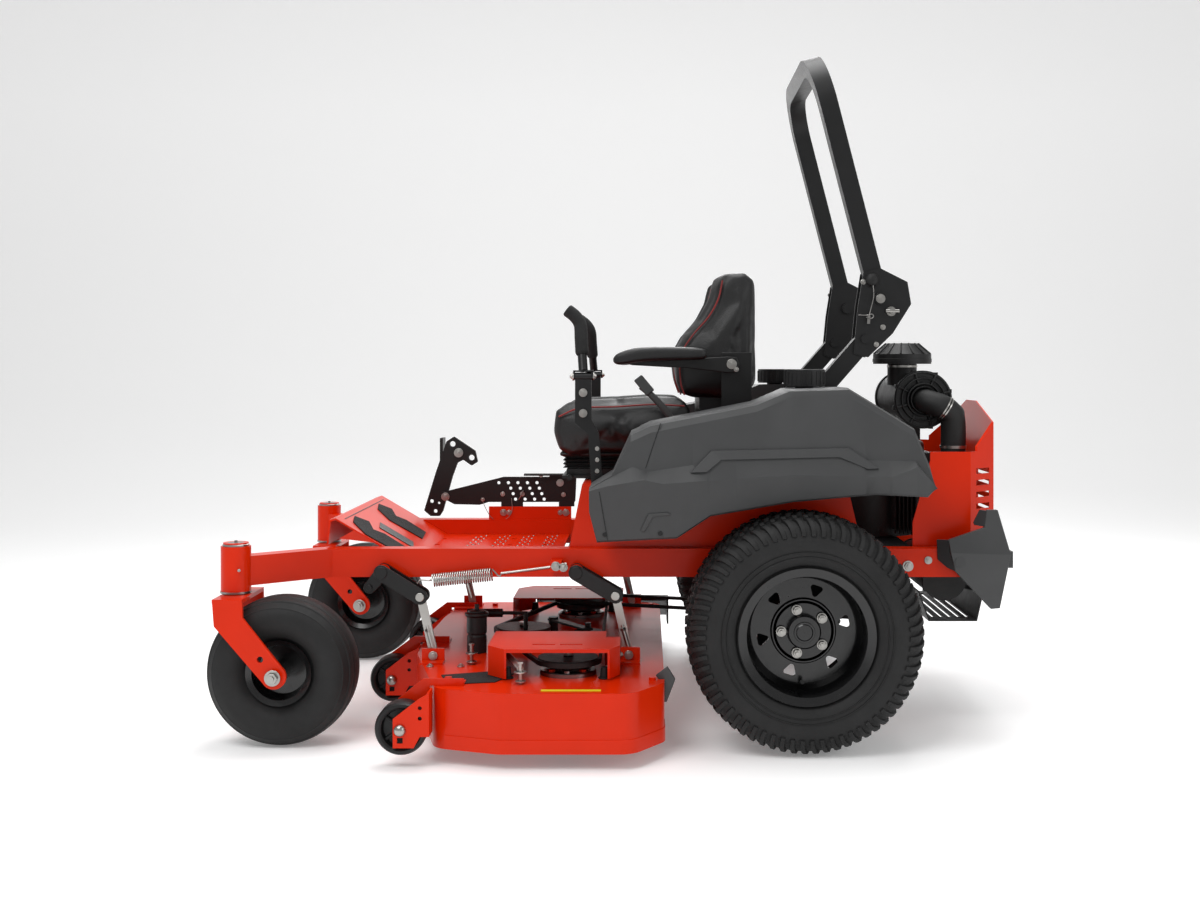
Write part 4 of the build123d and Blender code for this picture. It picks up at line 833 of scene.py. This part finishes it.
def make_lift_bolts():
    """Pivot bolts, hanger pins and turnbuckle sleeves."""
    for name, pivot, pin, foot in (("front", (-0.638, 0.423), (-0.535, 0.359), (-0.500, 0.204)),
                                   ("rear", (-0.121, 0.423), (-0.017, 0.362), (0.0185, 0.206))):
        arm, hanger, deck, chassis, lug, cheek = Kit(), Kit(), Kit(), Kit(), Kit(), Kit()
        for side in SIDES.values():
            cheek.plate(link_outline(pivot, pin, 0.0205), side * 0.4425, side * 0.4475)
            cheek.rod((pivot[0], side * 0.4115, pivot[1]), (pivot[0], side * 0.4430, pivot[1]), 0.0150)
            chassis.rod((pivot[0], side * 0.4480, pivot[1]), (pivot[0], side * 0.4510, pivot[1]), 0.0165)
            arm.rod((pin[0], side * 0.4475, pin[1]), (pin[0], side * 0.4525, pin[1]), 0.0115)
            deck.rod((foot[0], side * 0.445, foot[1]), (foot[0], side * 0.4500, foot[1]), 0.0120)
            deck.rod((foot[0], side * 0.449, foot[1]), (foot[0], side * 0.4530, foot[1]), 0.0080, sides=6)
            if name == "front":
                a, b = Vector(pivot), Vector((-0.676, 0.378))
                across = Vector((-(b - a).y, (b - a).x)).normalized()
                outline = [tuple(a + across * 0.020), tuple(a - across * 0.020)]
                outline += [tuple(b - across * 0.016 * cos(t) + (b - a).normalized() * 0.016 * sin(t))
                            for t in [pi * i / 10 for i in range(11)]]
                lug.plate(outline, side * 0.4005, side * 0.4105)
                lug.rod((b.x, side * 0.409, b.y), (b.x, side * 0.4165, b.y), 0.0085)
            middle = Vector((foot[0] * 0.6 + pin[0] * 0.4, side * 0.430, foot[1] * 0.6 + pin[1] * 0.4))
            low = Vector((foot[0], side * 0.430, foot[1] + 0.014))
            hanger.rod(middle, low, 0.0086, sides=20)
            hanger.rod(middle, middle + (middle - low).normalized() * 0.008, 0.0105, sides=6)
        chassis.make(f"{name}_pivot_bolts", "chassis", BLACK, "black_steel", bevel=0.0012)
        if name == "front":
            lug.make("front_arm_lugs", "front_lift_arms", BLACK, "black_steel", bevel=0.0012)
        cheek.make(f"{name}_arm_cheeks", f"{name}_lift_arms", BLACK, "black_steel", bevel=0.0012)
        arm.make(f"{name}_arm_bolts", f"{name}_lift_arms", ZINC, "zinc_steel", bevel=0.0008)
        deck.make(f"{name}_foot_bolts", "deck", ZINC, "zinc_steel", bevel=0.0008)
        hanger.make(f"{name}_turnbuckles", f"{name}_hangers", ZINC, "zinc_steel", bevel=0.0006)


def make_drive_belt():
    """Belt from the right spindle back to the engine pulley."""
    spindle, engine, radius = Vector((-0.140, 0.285)), Vector((0.720, 0.0)), 0.0772
    along = (engine - spindle).normalized()
    across = Vector((-along.y, along.x))
    centre_line = []
    for i in range(17):
        a = pi / 2 + pi * i / 16
        centre_line.append(spindle + (along * cos(a) + across * sin(a)) * radius)
    for i in range(1, 12):
        centre_line.append(centre_line[16].lerp(engine - across * radius, i / 12))
    for i in range(17):
        a = -pi / 2 + pi * i / 16
        centre_line.append(engine + (along * cos(a) + across * sin(a)) * radius)
    for i in range(1, 12):
        centre_line.append((engine + across * radius).lerp(centre_line[0], i / 12))
    kit = Kit()
    rings = []
    count = len(centre_line)
    for i, point in enumerate(centre_line):
        before, after = centre_line[i - 1], centre_line[(i + 1) % count]
        out = Vector(((after - before).y, -(after - before).x)).normalized()
        if out.dot(point - (spindle + engine) / 2) < 0:
            out = -out
        section = ((0.0005, 0.2355), (0.0078, 0.2345), (0.0078, 0.2455), (0.0005, 0.2445))
        rings.append([(*(point + out * o), z) for o, z in section])
    rings.append(rings[0])
    kit.loops(rings, caps=False)
    belt = kit.make("drive_belt_loop", None, RUBBER, "belt_rubber", smooth=40, replaces=("drive_belt",))
    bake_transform(belt)


DECK_EDGE = [(0.110, -0.600), (0.110, -0.690), (0.030, -0.810), (-0.290, -0.810), (-0.425, -0.7603)]
DECK_MIDDLE = Vector((-0.135, -0.575))
SPINDLES = {"left": (-0.135, -0.575), "centre": (-0.285, -0.145), "right": (-0.140, 0.285)}
DECK_CORNER = 0.060
BAND_TOP, BAND_PROUD = 0.074, 0.0022


def rounded(points, radius, steps=6):
    """An open line through the points with its corners turned into arcs."""
    corners = [Vector(point) for point in points]
    path = [corners[0]]
    for before, corner, after in zip(corners, corners[1:], corners[2:]):
        back, on = (before - corner).normalized(), (after - corner).normalized()
        half = back.angle(on) / 2
        start, end = corner + back * (radius / tan(half)), corner + on * (radius / tan(half))
        centre = corner + (back + on).normalized() * (radius / sin(half))
        first, last = (start - centre).normalized(), (end - centre).normalized()
        for i in range(steps + 1):
            path.append(centre + first.slerp(last, i / steps) * radius)
    path.append(corners[-1])
    return path


def make_deck_dressing():
    """Welded band, grip mat, hardware, spindle housings and rubber feet on the deck."""
    band = Kit()
    edge = rounded(DECK_EDGE, DECK_CORNER)
    rings = []
    for i, point in enumerate(edge):
        before, after = edge[max(i - 1, 0)], edge[min(i + 1, len(edge) - 1)]
        out = Vector((after.y - before.y, before.x - after.x)).normalized()
        if out.dot(point - DECK_MIDDLE) < 0:
            out = -out
        face = point + out * BAND_PROUD
        inner = point - out * 0.001
        rings.append([(*inner, 0.0405), (*face, 0.0405), (*face, BAND_TOP), (*inner, BAND_TOP + BAND_PROUD)])
    band.loops(rings)
    band.make("deck_lower_band", "deck", RED, "red_paint", smooth=25)
    mat = Kit()
    mat.slab([(-0.425, -0.715), (-0.310, -0.690), (-0.272, -0.595), (-0.345, -0.570), (-0.455, -0.610)],
             0.1862, 0.1885)
    mat.make("deck_step_mat", "deck", MAT_GREY, "black_plastic", bevel=0.0008)
    strip = Kit()
    strip.slab([(-0.190, -0.788), (-0.045, -0.788), (-0.045, -0.772), (-0.190, -0.772)], 0.1862, 0.1876)
    strip.make("deck_yellow_strip", "deck", YELLOW, "zinc_steel")
    hardware = Kit()
    for x, y in ((-0.395, -0.470), (-0.246, -0.705)):
        hardware.rod((x, y, 0.186), (x, y, 0.238), 0.0048)
        hardware.lathe([(0.0, 0.001), (0.0, 0.013), (0.004, 0.0135), (0.006, 0.009), (0.006, 0.001)],
                       (x, y, 0.190), axis="Z", sides=32)
        hardware.lathe([(0.0, 0.001), (0.0, 0.016), (0.003, 0.016), (0.003, 0.001)], (x, y, 0.214), axis="Z",
                       sides=32)
        hardware.rod((x, y, 0.236), (x, y, 0.241), 0.008, sides=6)
    hardware.rod((-0.246, -0.705, 0.224), (-0.300, -0.590, 0.246), 0.0085)
    hardware.bolt((-0.002, -0.540, 0.225), (1, 0, 0), 0.007)
    for x in (-0.50, -0.42):
        hardware.bolt((x, -0.500, 0.1865), (0, 0, 1), 0.007)
    for x, y in SPINDLES.values():
        hardware.rod((x, y, 0.2315), (x, y, 0.2405), 0.014, sides=6)
    hardware.make("deck_hardware", "deck", ZINC, "zinc_steel", bevel=0.0006)
    housings = Kit()
    for x, y in SPINDLES.values():
        profile = [(0.0, 0.046), (0.0, 0.0725), (0.009, 0.0725), (0.0115, 0.070), (0.0125, 0.062),
                   (0.0125, 0.050), (0.020, 0.0445), (0.0245, 0.0425), (0.0245, 0.0412), (0.006, 0.0412)]
        housings.lathe(profile, (x, y, 0.1862), axis="Z")
        for i in range(6):
            a = radians(30 + 60 * i)
            housings.rod((x + 0.061 * cos(a), y + 0.061 * sin(a), 0.198),
                         (x + 0.061 * cos(a), y + 0.061 * sin(a), 0.2035),
                         0.007, sides=6)
    housings.make("spindle_housings", "deck", STEEL, "zinc_steel", smooth=30)
    feet = Kit()
    for side, (x_middle, y_middle) in ((-1, SPINDLES["left"]), (1, SPINDLES["right"])):
        for x in (-0.150, 0.095):
            spot = (x_middle + x, y_middle + side * 0.066)
            feet.rod((*spot, 0.1862), (*spot, 0.1900), 0.016)
            feet.rod((*spot, 0.1900), (*spot, 0.2150), 0.012, 0.009)
    feet.make("deck_rubber_feet", "deck", RUBBER, "belt_rubber", bevel=0.001)
    tower = Kit()
    tower.lathe([(0.0, 0.0238), (0.0, 0.0268), (0.046, 0.0268), (0.048, 0.0245), (0.052, 0.0245),
                 (0.054, 0.0275), (0.098, 0.0275),
                 (0.102, 0.033), (0.108, 0.033), (0.112, 0.020), (0.1160, 0.012), (0.1160, 0.0005), (0.1145,
                                                                                                     0.0005),
                 (0.1145, 0.0238)], (-0.400, -0.310, 0.1865), axis="Z", sides=48)
    tower.rod((-0.400, -0.310, 0.300), (-0.400, -0.310, 0.318), 0.006)
    tower.make("deck_spring_tower", "deck", IRON, "black_steel", bevel=0.0008)
    damper = Kit()
    damper.rod((-0.440, -0.200, 0.275), (-0.340, -0.200, 0.275), 0.012)
    damper.rod((-0.350, -0.200, 0.275), (-0.270, -0.200, 0.275), 0.005)
    damper.rod((-0.430, -0.200, 0.187), (-0.430, -0.200, 0.275), 0.006)
    damper.rod((-0.275, -0.200, 0.187), (-0.275, -0.200, 0.275), 0.006)
    damper.make("deck_damper", "deck", BLACK, "black_steel", bevel=0.001)
    link = Kit()
    link.plate([(0.088, 0.195), (0.118, 0.218), (0.138, 0.186), (0.116, 0.128), (0.106, 0.128),
                (0.108, 0.170)], -0.650, -0.642)
    link.make("deck_latch_link", "deck", GREY_STEEL, "black_steel", bevel=0.002)


def make_chassis_dressing():
    """Toe-board mats, floor dimples, bolts along the rails and the rear hardware."""
    low, high = Vector((-0.571, 0.4345)), Vector((-0.781, 0.5585))
    slope = high - low
    out = Vector((slope.y, -slope.x)).normalized()
    if out.y < 0:
        out = -out

    def slab_on_slope(kit, outline, thickness):
        """Thin piece on the toe board: (share of the slope, y) points."""
        base = [(*(low + slope * t), y) for t, y in outline]
        lower = [(x, y, z) for x, z, y in base]
        upper = [(x + out.x * thickness, y, z + out.y * thickness) for x, z, y in base]
        kit.loops([lower, upper])

    mats = Kit()
    for y in (-0.215, 0.150):
        outline = [(0.16, y - 0.110), (0.62, y - 0.120), (0.84, y - 0.060), (0.90, y + 0.020),
                   (0.74, y + 0.060), (0.62, y - 0.010), (0.50, y + 0.020), (0.20, y + 0.010)]
        slab_on_slope(mats, outline, 0.003)
    mats.make("toe_board_mats", "chassis", MAT_GREY, "black_plastic", bevel=0.0008)
    slot = Kit()
    slab_on_slope(slot, [(0.14, -0.150), (0.60, -0.150), (0.66, -0.075), (0.20, -0.075)], 0.0016)
    slab_on_slope(slot, [(0.925, -0.290), (0.935, -0.290), (0.935, 0.290), (0.925, 0.290)], 0.0008)
    slot.make("toe_board_slot", "chassis", PLASTIC, "black_plastic")
    pads = Kit()
    for x in (-0.470, -0.395, -0.320, -0.245):
        for row in range(9):
            for dx, dy in ((0.0, 0.0), (0.014, 0.020), (0.028, 0.040)):
                spot = (x + dx, -0.300 + 0.070 * row + dy)
                pads.rod((*spot, 0.4335), (*spot, 0.4358), 0.0045, 0.0028, sides=12)
    pads.make("floor_grip_studs", "chassis", STEEL, "zinc_steel", smooth=40)
    bolts = Kit()
    for x, z, size in ((-0.155, 0.437, 0.0085), (0.7675, 0.4345, 0.0105), (0.822, 0.450, 0.0075)):
        for side in SIDES.values():
            bolts.bolt((x, side * (0.442 if x < 0 else 0.3965), z), (0, side, 0), size)
    for side in SIDES.values():
        bolts.rod((-0.975, side * 0.583, 0.449), (-0.975, side * 0.5855, 0.449), 0.004)
    bolts.make("rail_bolts", "chassis", ZINC, "zinc_steel", bevel=0.0007)
    facets = Kit()
    for side in SIDES.values():
        face, back = side * 0.4262, side * 0.399
        for outer, inner in (
            (((0.870, 0.508), (0.888, 0.424)), ((0.843, 0.506), (0.846, 0.452), (0.872, 0.430))),
            (((0.972, 0.586), (0.966, 0.543)), ((0.958, 0.586), (0.941, 0.552), (0.944, 0.545))),
        ):
            ring = [(x, face, z) for x, z in outer] + [(x, back, z) for x, z in reversed(inner)]
            facets.loops([ring, [(x + 0.004, y - side * 0.003, z) for x, y, z in ring]])
        left, right = (0.8745, 0.474), (1.0345, 0.470)
        upper = [left, (0.870, 0.508), (0.966, 0.541), (0.972, 0.588), (1.001, 0.588), right]
        lower = [left, right, (1.007, 0.326), (0.983, 0.324), (0.888, 0.424)]
        for outline in (upper, lower):
            facets.loops([
                [(x, face - side * 0.002, z) for x, z in outline],
                [(x, face + side * (0.009 if (x, z) in (left, right) else 0.001), z) for x, z in outline],
            ])
    facets.make("bumper_facets", "chassis", GREY_STEEL, "grey_steel", bevel=0.0012)


def make_air_cleaner_dressing():
    """Precleaner ribs, canister lid rings and clips, the intake hose and its clamps."""
    kit = Kit()
    kit.lathe([(0.0, 0.070), (0.0, 0.0845), (0.010, 0.0845), (0.014, 0.070)], (0.805, -0.100, 0.983),
              sides=48, axis="Z")
    for i in range(14):
        a = 2 * pi * i / 14
        near = (0.805 + 0.0825 * cos(a), -0.100 + 0.0825 * sin(a), 1.0065)
        far = (0.805 + 0.0465 * cos(a), -0.100 + 0.0465 * sin(a), 1.0368)
        kit.rod(near, far, 0.0028, sides=8)
    kit.make("precleaner_ribs", "chassis", PLASTIC, "black_plastic", bevel=0.0006)
    lid = Kit()
    for ring, depth in ((0.078, 0.006), (0.062, 0.010), (0.047, 0.016)):
        lid.lathe([(0.004, ring - 0.004), (-depth, ring - 0.003), (-depth, ring), (0.004, ring + 0.002)],
                  (0.845, -0.206, 0.877), sides=72)
    for i in range(8):
        a = 2 * pi * i / 8 + 0.3
        lid.rod((0.845 + 0.044 * cos(a), -0.209, 0.877 + 0.044 * sin(a)),
                (0.845 + 0.078 * cos(a), -0.209, 0.877 + 0.078 * sin(a)), 0.004, sides=8)
        lid.box((0.845 + 0.080 * cos(a) - 0.006, -0.200, 0.877 + 0.080 * sin(a) - 0.006),
                (0.845 + 0.080 * cos(a) + 0.006, -0.178, 0.877 + 0.080 * sin(a) + 0.006))
    lid.lathe([(-0.020, 0.034), (-0.022, 0.038), (0.0, 0.040), (0.0, 0.034)], (0.845, -0.206, 0.877),
              sides=48)
    lid.make("air_cleaner_lid", "chassis", PLASTIC, "black_plastic", bevel=0.0008)
    elbow = Kit()
    route = [(0.845, -0.204, 0.877), (0.858, -0.226, 0.870), (0.892, -0.242, 0.857), (0.917, -0.239, 0.836),
             (0.9235, -0.236, 0.800), (0.923, -0.236, 0.730)]
    elbow.hose(curve_through(route, 8), 0.0345, 28)
    elbow.make("intake_hose", "chassis", RUBBER, "black_plastic", smooth=60)
    clamps = Kit()
    line = curve_through(route, 8)
    for index in (17, 18):
        a, b = line[index], line[index + 1]
        clamps.rod(a, a.lerp(b, 0.8), 0.0364, sides=36)
    clamps.lathe([(0.0, 0.0345), (0.0, 0.0365), (0.008, 0.0365), (0.008, 0.0345)], (0.923, -0.236, 0.742),
                 axis="Z")
    clamps.lathe([(0.0, 0.0415), (0.0, 0.0435), (0.006, 0.0435), (0.006, 0.0415)], (0.805, -0.100, 0.968),
                 axis="Z")
    clamps.make("intake_clamps", "chassis", ZINC, "zinc_steel", smooth=30)


def make_roll_bar_dressing():
    """Pivot bolts, stop knobs, hairpins and lanyards."""
    bolts, knobs, wires = Kit(), Kit(), Kit()
    for side in SIDES.values():
        face = side * 0.3505
        bolts.bolt((0.700, side * 0.361, 1.154), (0, side, 0), 0.0090)
        bolts.bolt((0.708, face, 1.077), (0, side, 0), 0.0052)
        bolts.bolt((0.6545, face, 1.200), (0, side, 0), 0.0052)
        bolts.bolt((0.690, face, 1.030), (0, side, 0), 0.0050)
        knobs.dome((0.6785, side * 0.3510, 1.205), (0, side, 0), 0.0190)
        knobs.rod((0.6785, side * 0.3500, 1.205), (0.6785, side * 0.3515, 1.205), 0.0205)
        lanyard = [(0.6790, 0.364, 1.190), (0.680, 0.368, 1.160), (0.672, 0.367, 1.125), (0.6675, 0.362, 1.105)]
        clip = [(0.640, 0.362, 1.110), (0.660, 0.363, 1.109), (0.676, 0.364, 1.112),
                (0.680, 0.365, 1.105), (0.672, 0.365, 1.100), (0.660, 0.364, 1.104)]
        for route, radius in ((lanyard, 0.0013), (clip, 0.0015)):
            wires.hose(curve_through([(x, side * y, z) for x, y, z in route]), radius, 8)
        wires.plate([(0.663, 1.086), (0.671, 1.086), (0.672, 1.108), (0.664, 1.108)], side * 0.3612,
                    side * 0.3630)
    bolts.make("roll_bar_bolts", "chassis", ZINC, "zinc_steel", bevel=0.0007)
    knobs.make("roll_bar_stops", "chassis", RUBBER, "black_plastic", smooth=50)
    wires.make("roll_bar_lanyards", "chassis", STEEL, "zinc_steel", smooth=60)


def make_selector_dressing():
    """Pins and lanyards on the height selector, and the pedal's bolts."""
    kit = Kit()
    for x, z, size in ((-0.579, 0.553, 0.0095), (-0.395, 0.562, 0.0055), (-0.332, 0.562, 0.0055),
                       (-0.211, 0.598, 0.0085),
                       (-0.200, 0.560, 0.0055), (-0.272, 0.622, 0.0050), (-0.459, 0.544, 0.0045)):
        kit.bolt((x, 0.3520, z), (0, -1, 0), size)
    for x, dx in ((-0.392, 0.018), (-0.192, -0.018)):
        kit.bolt((x, 0.3475, 0.503), (0, -1, 0), 0.0080)
        kit.bolt((x + dx, 0.3475, 0.503), (0, -1, 0), 0.0060)
    kit.hose(curve_through([(-0.459, 0.346, 0.542), (-0.450, 0.342, 0.520), (-0.436, 0.340, 0.495),
                            (-0.424, 0.340, 0.482)]),
             0.0011, 8)
    kit.hose(curve_through([(-0.366, 0.346, 0.548), (-0.364, 0.342, 0.515), (-0.370, 0.340, 0.495),
                            (-0.384, 0.340, 0.482)]),
             0.0011, 8)
    kit.hose(curve_through([(-0.343, 0.343, 0.545), (-0.334, 0.341, 0.560), (-0.328, 0.341, 0.575)]), 0.0016,
             8)
    kit.make("selector_pins", "chassis", ZINC, "zinc_steel", bevel=0.0005)
    pedal = Kit()
    pedal.bolt((-0.537, 0.3540, 0.694), (0, -1, 0), 0.0105)
    pedal.make("pedal_bolts", "lift_pedal", ZINC, "zinc_steel", bevel=0.0006)


# ---------------------------------------------------------------- stage
def make_stage():
    """Pale floor, soft light and the camera."""
    floor_mat = bpy.data.materials.new("studio_floor")
    floor_mat.use_nodes = True
    shader = floor_mat.node_tree.nodes["Principled BSDF"]
    shader.inputs["Base Color"].default_value = (0.92, 0.92, 0.92, 1)
    shader.inputs["Emission Color"].default_value = (1.0, 1.0, 1.0, 1)
    shader.inputs["Emission Strength"].default_value = 0.18
    shader.inputs["Roughness"].default_value = 0.7
    mesh = bpy.data.meshes.new("studio_floor")
    size, back, height = 14.0, 7.0, 9.0
    rows = [(-size, 0.0), (back - 3, 0.0)]
    rows += [(back - 3 + 3 * sin(a), 3 - 3 * cos(a)) for a in [radians(10 * i) for i in range(1, 10)]]
    rows.append((back, height))
    verts = [(x, y, z) for y, z in rows for x in (-size, size)]
    faces = [(2 * i, 2 * i + 1, 2 * i + 3, 2 * i + 2) for i in range(len(rows) - 1)]
    mesh.from_pydata(verts, [], faces)
    mesh.materials.append(floor_mat)
    for face in mesh.polygons:
        face.use_smooth = True
    floor = bpy.data.objects.new("studio_floor", mesh)
    bpy.context.scene.collection.objects.link(floor)
    bpy.context.scene.view_settings.view_transform = "Standard"
    world = bpy.data.worlds.new("studio")
    bpy.context.scene.world = world
    world.use_nodes = True
    world.node_tree.nodes["Background"].inputs["Color"].default_value = (1.0, 1.0, 1.0, 1)
    world.node_tree.nodes["Background"].inputs["Strength"].default_value = 0.42
    for name, place, aim, size, power in (
        ("key_light", (-1.8, -3.2, 4.4), (0.0, 0.0, 0.5), 2.6, 120),
        ("fill_light", (3.8, -3.0, 2.2), (0.2, 0.0, 0.6), 2.0, 36),
        ("top_light", (0.3, 0.6, 4.8), (0.1, 0.0, 0.6), 3.0, 130),
        ("rim_light", (0.8, 3.6, 3.0), (0.2, 0.0, 0.8), 2.0, 60),
    ):
        data = bpy.data.lights.new(name, "AREA")
        data.size = size
        data.energy = power
        light = bpy.data.objects.new(name, data)
        light.location = place
        light.rotation_euler = (Vector(aim) - Vector(place)).to_track_quat("-Z", "Y").to_euler()
        bpy.context.scene.collection.objects.link(light)
    view = bpy.data.cameras.new("camera")
    view.lens = CAMERA_LENS
    view.sensor_width = 36.0
    view.shift_x, view.shift_y = CAMERA_SHIFT
    camera = bpy.data.objects.new("camera", view)
    camera.location = CAMERA_PLACE
    camera.rotation_euler = (radians(90), 0, 0)
    bpy.context.scene.collection.objects.link(camera)
    bpy.context.scene.camera = camera


make_stage()
paint_cad()
for side_name, side_sign in SIDES.items():
    make_rear_tyre(side_name, side_sign)
    make_rear_rim_details(side_name, side_sign)
    make_front_wheel(side_name, side_sign)
    make_fender(side_name, side_sign)
    make_lever(side_name, side_sign)
for wheel_name, (wheel_x, wheel_y) in {"left": (-0.528, -0.760), "centre": (-0.645, -0.205),
                                       "right": (-0.632, 0.380)}.items():
    make_scalp_wheel(wheel_name, wheel_x, wheel_y)
make_seat()
make_springs()
make_lift_bolts()
make_drive_belt()
make_deck_dressing()
make_chassis_dressing()
make_air_cleaner_dressing()
make_roll_bar_dressing()
make_selector_dressing()
